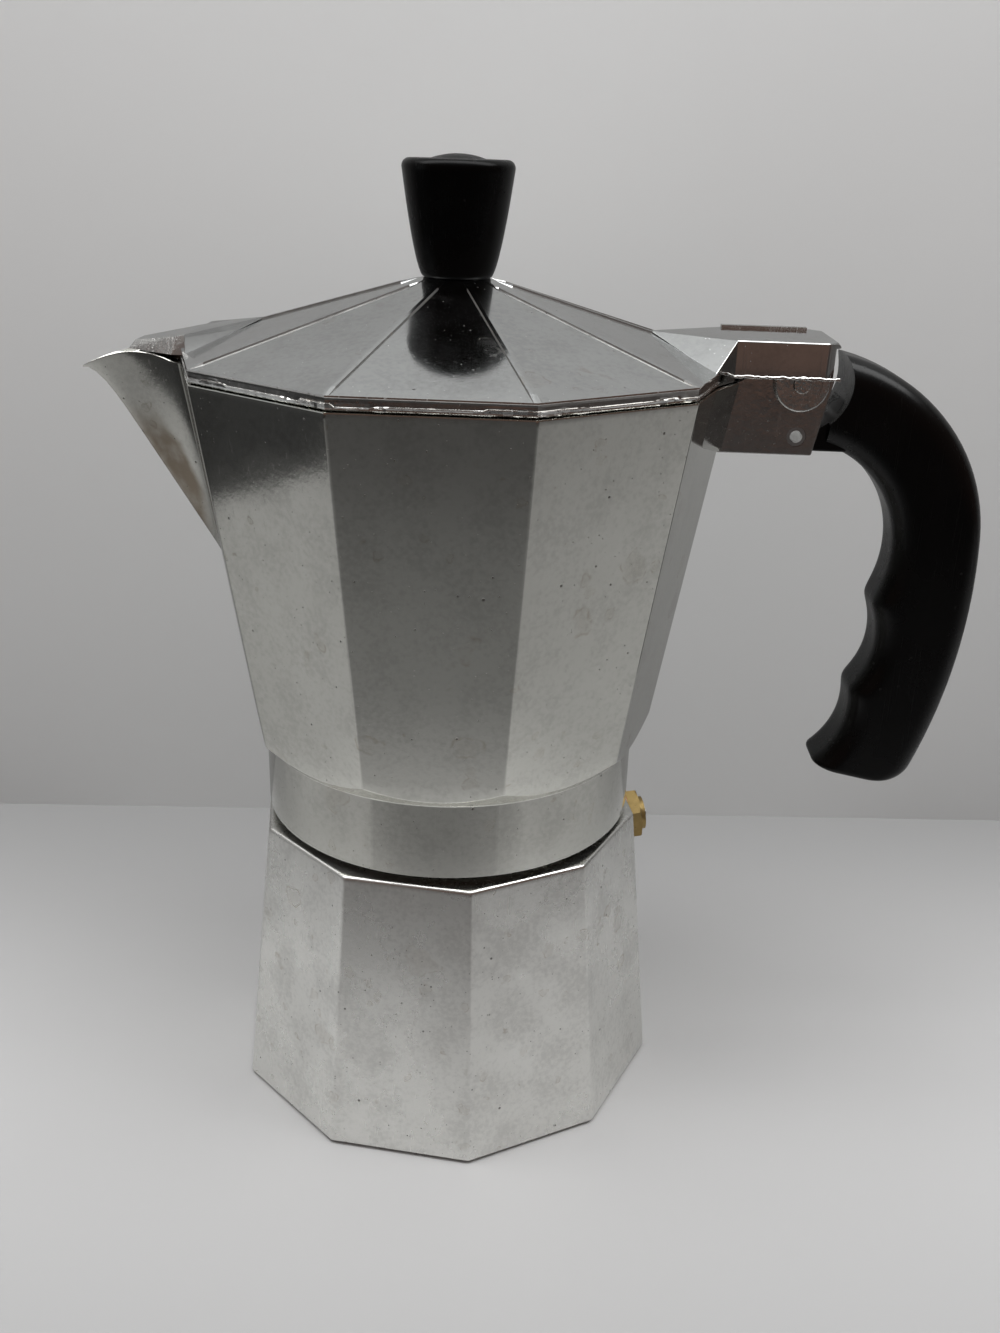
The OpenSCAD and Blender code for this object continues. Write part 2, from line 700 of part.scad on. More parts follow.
// --- Knob ---------------------------------------------------------------------------------

module knob() color("#1a1a1a") difference() {
    top_edge = 1.6;
    dome_r = knob_r * 0.49;
    translate([0, 0, knob_z]) rotate_extrude() difference() {
        union() {
            square([knob_r - top_edge, knob_h - 1]);
            square([knob_r, knob_h - 1 - top_edge]);
            translate([knob_r - top_edge, knob_h - 1 - top_edge]) circle(top_edge);
            // Low dome in the middle of the top.
            intersection() {
                translate([0, knob_h - dome_r * 3]) circle(dome_r * 3);
                square([dome_r, knob_h]);
            }
        }
        // Everything left of the axis.
        translate([-knob_h, -1]) square([knob_h, knob_h * 2]);
        // Flank, a shallow hollow curve from the foot to the widest point.
        flank = [knob_r - knob_foot_r, knob_h - 1 - top_edge];
        polygon([[knob_foot_r, -1], [knob_foot_r, 0],
                 for (i = [1:11]) let (t = i / 12)
                     [knob_foot_r + flank.x * pow(t, 0.62), flank.y * t],
                 [knob_r, flank.y], [knob_r + 5, flank.y], [knob_r + 5, -1]]);
    }
    translate([0, 0, knob_z - 1]) cylinder(h = insert_h + 1 + loose_gap, r = insert_r + pin_fit);
}

module knob_insert() color("goldenrod") difference() {
    translate([0, 0, knob_z]) cylinder(h = insert_h, r = insert_r);
    translate([0, 0, knob_z - 1]) cylinder(h = insert_h + 2, r = knob_screw_r + pin_fit);
}

module knob_screw() color("gray") difference() {
    union() {
        translate([0, 0, seat_floor]) cylinder(h = knob_z - seat_floor + insert_h - 1, r = knob_screw_r);
        translate([0, 0, seat_floor - knob_screw_r]) cylinder(h = knob_screw_r, r = screw_head_r);
    }
    // Slot for the screwdriver.
    translate([-screw_head_r - 1, -0.4, seat_floor - knob_screw_r - 1])
        cube([2 * screw_head_r + 2, 0.8, 1.8]);
}

// --- Funnel, gasket and filter ---------------------------------------------------------------

cup_floor = neck_top - cup_depth;
stem_top = cup_floor - cone_h;

module funnel_cup() color("gainsboro") difference() {
    union() {
        translate([0, 0, neck_top]) cylinder(h = funnel_sheet, r = cup_flange_r);
        translate([0, 0, cup_floor]) cylinder(h = cup_depth, r = cup_r);
        translate([0, 0, stem_top]) cylinder(h = cone_h, r1 = stem_r + funnel_sheet + 1, r2 = cup_r);
        translate([0, 0, stem_top - 4]) cylinder(h = 4, r = stem_r + funnel_sheet);
    }
    translate([0, 0, cup_floor]) cylinder(h = cup_depth + 2, r = cup_r - funnel_sheet);
    translate([0, 0, stem_top + funnel_sheet])
        cylinder(h = cone_h - funnel_sheet + eps, r1 = stem_r + 1, r2 = cup_r - funnel_sheet - 1.6);
    translate([0, 0, stem_top - 5]) cylinder(h = cone_h, r = stem_r + pin_fit);
}

module funnel_stem() color("gainsboro") {
    foot = boiler_floor + stem_foot_gap;
    difference() {
        translate([0, 0, foot]) cylinder(h = stem_top + 1 - foot, r = stem_r);
        translate([0, 0, foot - 1]) cylinder(h = stem_top + 4 - foot, r = stem_r - funnel_sheet);
    }
}

module funnel_strainer() color("gainsboro") translate([0, 0, cup_floor])
    sieve(cup_r - funnel_sheet - loose_gap, 0.8, 4, (cup_r - 5) / 5);

module gasket() color("whitesmoke") translate([0, 0, gasket_z]) difference() {
    cylinder(h = gasket_h, r = gasket_r);
    translate([0, 0, -1]) cylinder(h = gasket_h + 2, r = gasket_hole_r);
}

module filter_plate() color("gainsboro") translate([0, 0, plate_z])
    sieve(plate_r, plate_t, sieve_rings, (gasket_hole_r - 2) / sieve_rings);

// --- Safety valve ----------------------------------------------------------------------------

module valve_washer() color("peru") at_valve() difference() {
    cylinder(h = washer_t, r = washer_r);
    translate([0, 0, -1]) cylinder(h = washer_t + 2, r = valve_shank_r + pin_fit);
}

module valve_body() color("darkgoldenrod") at_valve() difference() {
    union() {
        translate([0, 0, washer_t]) cylinder(h = valve_hex_t, r = valve_af / 2 / cos(30), $fn = 6);
        translate([0, 0, -shank_in]) cylinder(h = shank_in + washer_t + eps, r = valve_shank_r);
    }
    translate([0, 0, -shank_in + seat_t]) cylinder(h = shank_in + hex_out, r = valve_bore_r);
    translate([0, 0, -shank_in - 1]) cylinder(h = shank_in, r = valve_stem_r + 0.4);
}

module valve_nut() color("darkgoldenrod") at_valve() translate([0, 0, -boiler_wall - nut_t])
    difference() {
        rotate(30) cylinder(h = nut_t, r = nut_af / 2 / cos(30), $fn = 6);
        translate([0, 0, -1]) cylinder(h = nut_t + 2, r = valve_shank_r + pin_fit);
    }

module valve_cap() color("darkgoldenrod") at_valve() translate([0, 0, hex_out]) difference() {
    cylinder(h = cap_t, r = cap_r);
    translate([0, 0, -1]) cylinder(h = cap_t + 2, r = valve_stem_r + pin_fit);
    for (i = [0:3]) rotate(45 + 90 * i) translate([valve_bore_r - 0.4, 0, -1])
        cylinder(h = cap_t + 2, r = 0.4, $fn = 24);
}

module valve_plug() color("gray") at_valve() {
    foot = -shank_in + seat_t;
    translate([0, 0, foot]) cylinder(h = plug_t, r = plug_r);
    translate([0, 0, foot]) cylinder(h = hex_out + cap_t + 0.8 - foot, r = valve_stem_r);
}

// Helical spring between the plug and the cap.
module valve_spring() color("dimgray") at_valve() {
    low = -shank_in + seat_t + plug_t + spring_wire;
    high = hex_out - spring_wire;
    coil_r = (valve_stem_r + valve_bore_r) / 2;
    per_turn = 14;
    rim = 6;
    steps = spring_turns * per_turn;
    points = [for (k = [0:steps], i = [0:rim - 1])
        let (a = 360 * k / per_turn, b = 360 * i / rim, r = coil_r + spring_wire * cos(b))
        [r * cos(a), r * sin(a), low + (high - low) * k / steps + spring_wire * sin(b)]];
    walls = [for (k = [0:steps - 1], i = [0:rim - 1])
        let (j = (i + 1) % rim)
        [k * rim + i, (k + 1) * rim + i, (k + 1) * rim + j, k * rim + j]];
    polyhedron(points = points, convexity = 12, faces = concat(walls,
        [[for (i = [0:rim - 1]) i]], [[for (i = [rim - 1:-1:0]) steps * rim + i]]));
}

boiler();
collector();
lid();
hinge_pin();
knob();
knob_insert();
knob_screw();
handle();
handle_pin();
gasket();
filter_plate();
funnel_cup();
funnel_stem();
funnel_strainer();
valve_body();
valve_washer();
valve_nut();
valve_cap();
valve_plug();
valve_spring();
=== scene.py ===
"""Looks of a stovetop moka pot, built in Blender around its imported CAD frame.

Sizes in the classes are millimetres, as in the part's source. Finished meshes, lamps and
places in shaders are metres, in the frame of the CAD model: the origin is the middle of the
base, +Z is up, the handle is along +X and the spout along -X.
"""

import logging
import math
import random
from dataclasses import dataclass, field
from enum import Enum
from typing import Callable, Iterable, Sequence

import bmesh
import bpy
from mathutils import Matrix, Vector, noise


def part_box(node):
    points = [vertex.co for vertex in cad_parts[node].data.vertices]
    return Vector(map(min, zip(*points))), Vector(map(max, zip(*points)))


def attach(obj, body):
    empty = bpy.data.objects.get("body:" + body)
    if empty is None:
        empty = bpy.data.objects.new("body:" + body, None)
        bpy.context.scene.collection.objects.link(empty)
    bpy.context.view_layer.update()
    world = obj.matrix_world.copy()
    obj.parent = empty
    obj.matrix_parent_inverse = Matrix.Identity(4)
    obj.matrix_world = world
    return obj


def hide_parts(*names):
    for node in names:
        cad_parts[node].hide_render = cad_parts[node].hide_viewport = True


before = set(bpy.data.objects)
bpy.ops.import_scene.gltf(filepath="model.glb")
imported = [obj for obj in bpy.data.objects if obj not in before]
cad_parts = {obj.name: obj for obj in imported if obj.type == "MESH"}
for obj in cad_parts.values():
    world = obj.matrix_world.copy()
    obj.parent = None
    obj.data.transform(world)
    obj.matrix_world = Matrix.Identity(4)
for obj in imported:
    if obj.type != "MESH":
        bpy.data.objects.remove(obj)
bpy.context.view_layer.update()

LOG = logging.getLogger("moka_pot")
MM = 0.001
SIDES = 10
TURN = 360 / SIDES
HALF_SIDE = math.radians(TURN / 2)
# How far a side lies from the axis, as a share of a corner's distance.
FACE = math.cos(HALF_SIDE)
CORNER_POINTS = 5
SIDE_POINTS = 8

# What more than one piece shares. A place is (x, z) in the handle's plane.
RIM_R = 60.0
HINGE = (72.1, 171.6)
ROLL_PIN = (72.4, 160.5)
ROLL_PIN_R = 2.05
KNOB_Z = 189.49
# Longer than any piece is wide, for cutters that go right through.
THROUGH = 30.0

Point = tuple[float, float, float]
Place = tuple[float, float]
Profile = tuple[Place, ...]
Ring = list[Point]
Mesh = bmesh.types.BMesh
Socket = bpy.types.NodeSocket
Colour = tuple[float, float, float, float]


# --- Mesh tools ---------------------------------------------------------------------------


def toward(degrees: float) -> Place:
    """Returns the unit vector at an angle in a plane."""
    return math.cos(math.radians(degrees)), math.sin(math.radians(degrees))


def ease(value: float, low: float, high: float) -> float:
    """Returns a smooth step from 0 below the low value to 1 above the high one."""
    share = min(1.0, max(0.0, (value - low) / (high - low)))
    return share * share * (3 - 2 * share)


def rounded(radius: float, height: float) -> float:
    """Returns how far a rounded edge is drawn in at a height over the face that it ends in."""
    return radius - math.sqrt(max(0.0, radius ** 2 - max(0.0, radius - height) ** 2))


def disc(centre: Place, radius: float, count: int = 48) -> list[Place]:
    """Returns count points on a circle in a plane."""
    return [(centre[0] + radius * c, centre[1] + radius * s)
            for c, s in (toward(i * 360 / count) for i in range(count))]


def round_ring(radius: float, z: float, count: int) -> Ring:
    """Returns count points on a circle about the pot's axis."""
    turns = [2 * math.pi * i / count for i in range(count)]
    return [(radius * math.cos(turn), radius * math.sin(turn), z) for turn in turns]


def onto_circle(ring: Ring, radius: float, z: float) -> Ring:
    """Moves a ring in or out to a circle.

    Args:
        ring: the ring that gives each point's direction.
        radius: the circle's radius.
        z: its height.

    Returns:
        The new ring.
    """
    out = []
    for x, y, _ in ring:
        grow = radius / math.hypot(x, y)
        out.append((x * grow, y * grow, z))
    return out


def corner_run(corner_r: float, z: float, turn: float, rounding: float) -> Ring:
    """One rounded corner of a ten-sided ring.

    Args:
        corner_r: radius across the sharp corners.
        z: height.
        turn: the corner's angle, in degrees.
        rounding: the corner's own radius.

    Returns:
        Its points, counter-clockwise.
    """
    ux, uy = toward(turn)
    centre = corner_r - rounding / FACE
    run = []
    for i in range(CORNER_POINTS):
        vx, vy = toward(turn - TURN / 2 + TURN * i / (CORNER_POINTS - 1))
        run.append((centre * ux + rounding * vx, centre * uy + rounding * vy, z))
    return run


def join_corners(corners: list[Ring], side: int) -> Ring:
    """Joins corners to one ring.

    Args:
        corners: the points of each corner, in order.
        side: how many evenly spaced points go between two corners.

    Returns:
        The closed ring.
    """
    ring: Ring = []
    for k, points in enumerate(corners):
        ring += points
        a, b = points[-1], corners[(k + 1) % len(corners)][0]
        for i in range(1, side + 1):
            t = i / (side + 1)
            ring.append(tuple(a[n] + (b[n] - a[n]) * t for n in range(3)))
    return ring


def ten_ring(corner_r: float, z: float, twist: float = 0.0, rounding: float = 1.5) -> Ring:
    """Returns a ten-sided ring with rounded corners, the first of them at the twist's angle."""
    corners = [corner_run(corner_r, z, twist + TURN * k, rounding) for k in range(SIDES)]
    return join_corners(corners, SIDE_POINTS)


def loft(rings: Sequence[Ring], closed: bool = False, cap_start: bool = False,
         cap_end: bool = False) -> Mesh:
    """Skin over rings of equally many points.

    Args:
        rings: the rings in order, in millimetres.
        closed: joins the last ring to the first.
        cap_start: closes the first ring.
        cap_end: closes the last ring.

    Returns:
        The mesh, in millimetres.
    """
    bm = bmesh.new()
    rows = [[bm.verts.new(p) for p in ring] for ring in rings]
    count = len(rows[0])
    pairs = list(zip(rows, rows[1:]))
    if closed:
        pairs.append((rows[-1], rows[0]))
    for low, high in pairs:
        for i in range(count):
            j = (i + 1) % count
            bm.faces.new((low[i], low[j], high[j], high[i]))
    for wanted, row in ((cap_start, rows[0]), (cap_end, rows[-1])):
        if wanted:
            middle = bm.verts.new(sum((v.co for v in row), Vector()) / count)
            for i in range(count):
                bm.faces.new((row[i], row[(i + 1) % count], middle))
    return bm


def lathe(profile: Sequence[Place], count: int) -> Mesh:
    """Turned shape.

    Args:
        profile: (radius, height) pairs; a radius of 0 at either end closes that end.
        count: points around.

    Returns:
        The mesh about the Z axis; a profile that doesn't reach the axis is closed on itself.
    """
    inner = [(r, z) for r, z in profile if r > 0]
    start, end = profile[0][0] == 0, profile[-1][0] == 0
    return loft([round_ring(r, z, count) for r, z in inner], closed=not (start or end),
                cap_start=start, cap_end=end)


def upright(u: float, v: float, along: float) -> Point:
    """Returns a prism's point with its section in plan."""
    return u, v, along


def sideways(u: float, v: float, along: float) -> Point:
    """Returns a prism's point with its section in the handle's plane."""
    return u, along, v


def prism(outline: Sequence[Place], low: float, high: float,
          place: Callable[[float, float, float], Point] = sideways) -> Mesh:
    """Straight prism.

    Args:
        outline: points of its section.
        low: where it starts along its length.
        high: where it ends.
        place: turns (u, v, along) into a point in space.

    Returns:
        The mesh, with one face at each end.
    """
    bm = bmesh.new()
    rows = [[bm.verts.new(place(u, v, along)) for u, v in outline] for along in (low, high)]
    for i in range(len(outline)):
        j = (i + 1) % len(outline)
        bm.faces.new((rows[0][i], rows[0][j], rows[1][j], rows[1][i]))
    bm.faces.new(rows[0][::-1])
    bm.faces.new(rows[1])
    bmesh.ops.recalc_face_normals(bm, faces=bm.faces)
    return bm


def block(low: Point, high: Point) -> Mesh:
    """Returns a straight block between two corners."""
    return prism([(low[0], low[1]), (high[0], low[1]), (high[0], high[1]), (low[0], high[1])],
                 low[2], high[2], upright)


def wrapped(points: Iterable[Point]) -> Mesh:
    """Wraps points tightly.

    Args:
        points: the points.

    Returns:
        The smallest convex mesh that holds them all.
    """
    bm = bmesh.new()
    for p in points:
        bm.verts.new(p)
    found = bmesh.ops.convex_hull(bm, input=bm.verts)
    loose = {v for v in found["geom_interior"] if isinstance(v, bmesh.types.BMVert)}
    bmesh.ops.delete(bm, geom=list(loose), context="VERTS")
    bmesh.ops.dissolve_limit(bm, angle_limit=math.radians(1), verts=bm.verts, edges=bm.edges)
    return bm


def soften(bm: Mesh, width: float, segments: int = 3, sharper: float = 25.0) -> Mesh:
    """Rounds a mesh's sharp edges.

    Args:
        bm: the mesh, in millimetres.
        width: how far the rounding reaches from each edge.
        segments: steps across it.
        sharper: only edges that turn by more than this many degrees.

    Returns:
        The same mesh.
    """
    edges = [e for e in bm.edges
             if len(e.link_faces) == 2 and e.calc_face_angle(0.0) > math.radians(sharper)]
    bmesh.ops.bevel(bm, geom=edges, offset=width, segments=segments, profile=0.5,
                    affect="EDGES", clamp_overlap=True)
    return bm


def as_object(name: str, parts: Sequence[Mesh], sharp: float = 35.0,
              first_sharp: float | None = None, weighted: bool = True) -> bpy.types.Object:
    """Joins meshes in millimetres into one object in metres.

    Args:
        name: the object's name.
        parts: the meshes; they are freed.
        sharp: edges that turn by more than this many degrees stay sharp.
        first_sharp: the same for the first mesh, where it differs.
        weighted: keeps flat faces flat in the shading.

    Returns:
        The new object, linked to the scene.
    """
    whole = bmesh.new()
    for number, part in enumerate(parts):
        bmesh.ops.remove_doubles(part, verts=part.verts, dist=1e-4)
        bmesh.ops.recalc_face_normals(part, faces=part.faces)
        limit = math.radians(first_sharp if first_sharp and not number else sharp)
        for face in part.faces:
            face.smooth = True
        for edge in part.edges:
            edge.smooth = len(edge.link_faces) != 2 or edge.calc_face_angle(0.0) < limit
        temp = bpy.data.meshes.new("part")
        part.to_mesh(temp)
        part.free()
        whole.from_mesh(temp)
        bpy.data.meshes.remove(temp)
    bmesh.ops.scale(whole, vec=(MM, MM, MM), verts=whole.verts)
    mesh = bpy.data.meshes.new(name)
    whole.to_mesh(mesh)
    whole.free()
    obj = bpy.data.objects.new(name, mesh)
    bpy.context.scene.collection.objects.link(obj)
    if weighted:
        obj.modifiers.new("flat_faces", "WEIGHTED_NORMAL").keep_sharp = True
    return obj


def carve(part: Mesh, *cutters: Mesh) -> Mesh:
    """Cuts closed meshes out of another, one after the other.

    Args:
        part: what is cut; it is freed.
        *cutters: what is taken away; they are freed.

    Returns:
        What is left.
    """
    for cutter in cutters:
        made = [as_object("part", [part], weighted=False),
                as_object("cutter", [cutter], weighted=False)]
        step = made[0].modifiers.new("cut", "BOOLEAN")
        step.operation, step.solver, step.object = "DIFFERENCE", "EXACT", made[1]
        graph = bpy.context.evaluated_depsgraph_get()
        left = bpy.data.meshes.new_from_object(made[0].evaluated_get(graph))
        part = bmesh.new()
        part.from_mesh(left)
        bmesh.ops.scale(part, vec=(1 / MM,) * 3, verts=part.verts)
        bpy.data.meshes.remove(left)
        for obj in made:
            mesh = obj.data
            bpy.data.objects.remove(obj)
            bpy.data.meshes.remove(mesh)
    return part


# --- Shader tools -------------------------------------------------------------------------


def dimmed(colour: Colour, share: float) -> Colour:
    """Returns a colour times a share."""
    return tuple(c * share for c in colour[:3]) + (1.0,)


class Graph:
    """A node tree and the shortest way to add to it."""

    def __init__(self, tree: bpy.types.NodeTree) -> None:
        """Empties the tree."""
        self.tree = tree
        tree.nodes.clear()

    def add(self, kind: str, settings: dict | None = None, **inputs: object) -> bpy.types.Node:
        """Adds a node.

        Args:
            kind: its type, without the ShaderNode in front.
            settings: its own properties.
            **inputs: values or sockets by input name, with _ for a space; in_N is input N.

        Returns:
            The node.
        """
        node = self.tree.nodes.new(kind if kind.startswith("Node") else "ShaderNode" + kind)
        for name, value in (settings or {}).items():
            setattr(node, name, value)
        for name, value in inputs.items():
            if name.startswith("in_"):
                socket = node.inputs[int(name[3:])]
            else:
                socket = node.inputs[name.replace("_", " ")]
            if isinstance(value, Socket):
                self.tree.links.new(value, socket)
            else:
                socket.default_value = value
        return node

    def math(self, operation: str, *values: object) -> Socket:
        """Returns the result of a Math node."""
        numbered = {f"in_{i}": value for i, value in enumerate(values)}
        return self.add("Math", {"operation": operation}, **numbered).outputs[0]

    def product(self, first: object, *others: object) -> Socket:
        """Multiplies values.

        Args:
            first: the first value.
            *others: what it is multiplied by.

        Returns:
            The product.
        """
        for other in others:
            first = self.math("MULTIPLY", first, other)
        return first

    def most(self, first: object, *others: object) -> Socket:
        """Finds the greatest of values.

        Args:
            first: the first value.
            *others: the others.

        Returns:
            The greatest.
        """
        for other in others:
            first = self.math("MAXIMUM", first, other)
        return first

    def plus(self, base: object, *terms: tuple[object, object]) -> Socket:
        """Adds terms to a value.

        Args:
            base: the value.
            *terms: what is added, each a value and its factor.

        Returns:
            The sum.
        """
        for value, factor in terms:
            base = self.math("MULTIPLY_ADD", value, factor, base)
        return base

    def split(self, vector: object) -> Sequence[Socket]:
        """Returns the X, Y and Z of a vector."""
        return self.add("SeparateXYZ", in_0=vector).outputs

    def noise(self, vector: object, scale: object, detail: float = 3.0,
              rough: float = 0.5) -> Socket:
        """Returns the value of a Noise texture."""
        return self.add("TexNoise", Vector=vector, Scale=scale, Detail=detail,
                        Roughness=rough).outputs[0]

    def remap(self, value: object, low: object, high: object, to_low: object = 0.0,
              to_high: object = 1.0) -> Socket:
        """Returns a value carried from one range to another, with soft ends."""
        return self.add("MapRange", {"interpolation_type": "SMOOTHSTEP"}, in_0=value, in_1=low,
                        in_2=high, in_3=to_low, in_4=to_high).outputs[0]

    def mix(self, share: object, first: object, second: object) -> Socket:
        """Returns a mix of two colours."""
        return self.add("Mix", {"data_type": "RGBA"}, in_0=share, in_6=first,
                        in_7=second).outputs[2]


class Effect(Enum):
    """The shared surface effects, each a shader node group."""

    PITS = "small_pits"
    STAINS = "water_stains"
    SCRATCHES = "fine_scratches"
    GRAIN = "cast_grain"
    MOTTLE = "soft_mottle"
    WEAR = "edge_wear"


@dataclass
class Effects:
    """Builds the shared groups once and places them in materials."""

    groups: dict[Effect, bpy.types.NodeTree] = field(default_factory=dict)

    def start(self, effect: Effect, inputs: dict[str, float],
              *outputs: str) -> tuple[Graph, Sequence[Socket]]:
        """Makes a group with its sockets.

        Args:
            effect: which effect the group is.
            inputs: its number inputs and what they are by default; Vector comes first.
            *outputs: its outputs, all of them numbers.

        Returns:
            The graph, and what its input node gives.
        """
        tree = bpy.data.node_groups.new(effect.value, "ShaderNodeTree")
        graph = Graph(tree)
        tree.interface.new_socket("Vector", in_out="INPUT", socket_type="NodeSocketVector")
        for name, value in inputs.items():
            socket = tree.interface.new_socket(name, in_out="INPUT", socket_type="NodeSocketFloat")
            socket.default_value = value
        for name in outputs:
            tree.interface.new_socket(name, in_out="OUTPUT", socket_type="NodeSocketFloat")
        self.groups[effect] = tree
        return graph, graph.add("NodeGroupInput").outputs

    def build(self) -> None:
        """Makes every group."""
        for make in (self.build_pits, self.build_stains, self.build_scratches, self.build_grain,
                     self.build_mottle, self.build_wear):
            make()

    def cells(self, graph: Graph, vector: object, scale: object, share: object,
              spread: float, least: float) -> tuple[Socket, Socket, Socket]:
        """Throws round spots at random, one or none in each cell.

        Args:
            graph: the group's graph.
            vector: where the surface is.
            scale: how many cells go into a unit of length.
            share: the share of cells that hold a spot.
            spread: how much the spots differ in radius.
            least: the smallest radius, in cells.

        Returns:
            The distance from the spot's middle, its radius, and 1 where the cell has a spot.
        """
        found = graph.add("TexVoronoi", Vector=vector, Scale=scale)
        chance = graph.add("SeparateColor", in_0=found.outputs["Color"]).outputs
        radius = graph.math("MULTIPLY_ADD", chance[1], spread, least)
        return found.outputs["Distance"], radius, graph.math("LESS_THAN", chance[0], share)

    def build_pits(self) -> None:
        """Small round pits, thrown at random: Mask is 1 inside a pit."""
        graph, given = self.start(Effect.PITS, {"Scale": 300.0, "Share": 0.2}, "Mask")
        away, size, chosen = self.cells(graph, given["Vector"], given["Scale"], given["Share"],
                                        0.22, 0.06)
        inside = graph.remap(away, size, graph.product(size, 0.45))
        graph.add("NodeGroupOutput", Mask=graph.product(inside, chosen))

    def build_stains(self) -> None:
        """Dried water marks: Ring is their rim and Patch what it encloses."""
        graph, given = self.start(Effect.STAINS, {"Scale": 90.0, "Share": 0.3}, "Ring", "Patch")
        place = graph.add("VectorMath", {"operation": "SCALE"}, in_0=given["Vector"],
                          Scale=given["Scale"]).outputs[0]
        bend = graph.add("TexNoise", Vector=place, Scale=1.7, Detail=2.0)
        shift = graph.add("VectorMath", {"operation": "MULTIPLY_ADD"}, in_0=bend.outputs["Color"],
                          in_1=(0.7, 0.7, 0.7), in_2=place)
        away, size, chosen = self.cells(graph, shift.outputs[0], 1.0, given["Share"], 0.26, 0.10)
        ring = graph.remap(graph.math("ABSOLUTE", graph.math("SUBTRACT", away, size)), 0.05, 0.0)
        patch = graph.remap(away, size, graph.product(size, 0.6))
        broken = graph.remap(graph.noise(place, 3.1), 0.38, 0.62)
        graph.add("NodeGroupOutput", Ring=graph.product(ring, chosen, broken),
                  Patch=graph.product(patch, chosen))

    def build_scratches(self) -> None:
        """Fine straight scratches in three directions: Lines is 1 along a scratch."""
        graph, given = self.start(Effect.SCRATCHES, {"Scale": 60.0, "Share": 0.3}, "Lines")
        place = graph.add("VectorMath", {"operation": "SCALE"}, in_0=given["Vector"],
                          Scale=given["Scale"]).outputs[0]
        edge = graph.math("MULTIPLY_ADD", given["Share"], -0.12, 0.74)
        lines = []
        for turn, stretch in (((0.5, 0.4, 0.5), (20.0, 20.0, 0.30)),
                              ((1.1, -0.6, 1.9), (26.0, 26.0, 0.4)),
                              ((-0.9, 1.2, 0.2), (32.0, 32.0, 0.5))):
            turned = graph.add("Mapping", Vector=place, Rotation=turn, Scale=stretch)
            value = graph.noise(turned.outputs[0], 1.0, 1.0)
            lines.append(graph.remap(value, edge, graph.math("ADD", edge, 0.05)))
        graph.add("NodeGroupOutput", Lines=graph.most(*lines))

    def build_grain(self) -> None:
        """The fine uneven skin of a die casting: Height is about 0 to 1."""
        graph, given = self.start(Effect.GRAIN, {"Scale": 900.0}, "Height")
        fine = graph.noise(given["Vector"], given["Scale"], 2.0, 0.6)
        broad = graph.noise(given["Vector"], graph.product(given["Scale"], 0.12), 2.0)
        graph.add("NodeGroupOutput", Height=graph.plus(fine, (broad, 0.8)))

    def build_mottle(self) -> None:
        """Broad cloudy change over a surface: Clouds is 0 to 1."""
        graph, given = self.start(Effect.MOTTLE, {"Scale": 30.0}, "Clouds")
        value = graph.noise(given["Vector"], given["Scale"], 5.0, 0.62)
        graph.add("NodeGroupOutput", Clouds=graph.remap(value, 0.32, 0.68))

    def build_wear(self) -> None:
        """Where hands and cloths rub: Rubbed is 1 on outward edges, in a broken line."""
        graph, given = self.start(Effect.WEAR, {"Reach": 0.04}, "Rubbed")
        flat = 0.505
        rubbed = graph.remap(graph.add("NewGeometry").outputs["Pointiness"], flat,
                             graph.math("ADD", given["Reach"], flat))
        broken = graph.remap(graph.noise(given["Vector"], 420.0), 0.3, 0.6, 0.3, 1.0)
        graph.add("NodeGroupOutput", Rubbed=graph.product(rubbed, broken))

    def place(self, graph: Graph, effect: Effect, vector: object,
              **values: object) -> Sequence[Socket]:
        """Places an effect in a material, with its own inputs, and returns what it gives."""
        group = {"node_tree": self.groups[effect]}
        return graph.add("Group", group, Vector=vector, **values).outputs


# --- Finishes -----------------------------------------------------------------------------


@dataclass(frozen=True)
class Coating:
    """What every finish has: two colours, a roughness, and the way to a material."""

    name: str
    colour: Colour
    second: Colour
    roughness: float = 0.25
    metallic: float = 0.0
    shine: float = 0.5

    def paint(self, graph: Graph, effects: Effects, where: Socket) -> tuple[Socket, ...]:
        """Returns the colour, the roughness and the height in millimetres over the surface."""
        raise NotImplementedError

    def overlaid(self, graph: Graph, *layers: tuple[Socket, float, Colour]) -> Socket:
        """Lays colours over the finish's own.

        Args:
            graph: the material's graph.
            *layers: the mask, the strength and the colour of each.

        Returns:
            The colour.
        """
        tint = self.colour
        for mask, strength, over in layers:
            tint = graph.mix(graph.product(mask, strength), tint, over)
        return tint

    def material(self, effects: Effects) -> bpy.types.Material:
        """Builds the material.

        Args:
            effects: the shared groups.

        Returns:
            The material.
        """
        made = bpy.data.materials.new(self.name)
        made.use_nodes = True
        graph = Graph(made.node_tree)
        where = graph.add("TexCoord").outputs["Object"]
        tint, rough, height = self.paint(graph, effects, where)
        bump = graph.add("Bump", Height=height, Strength=1.0, Distance=MM)
        shader = graph.add("BsdfPrincipled", Base_Color=tint, Metallic=self.metallic,
                           Roughness=rough, Normal=bump.outputs[0],
                           Specular_IOR_Level=self.shine)
        graph.add("OutputMaterial", Surface=shader.outputs[0])
        return made


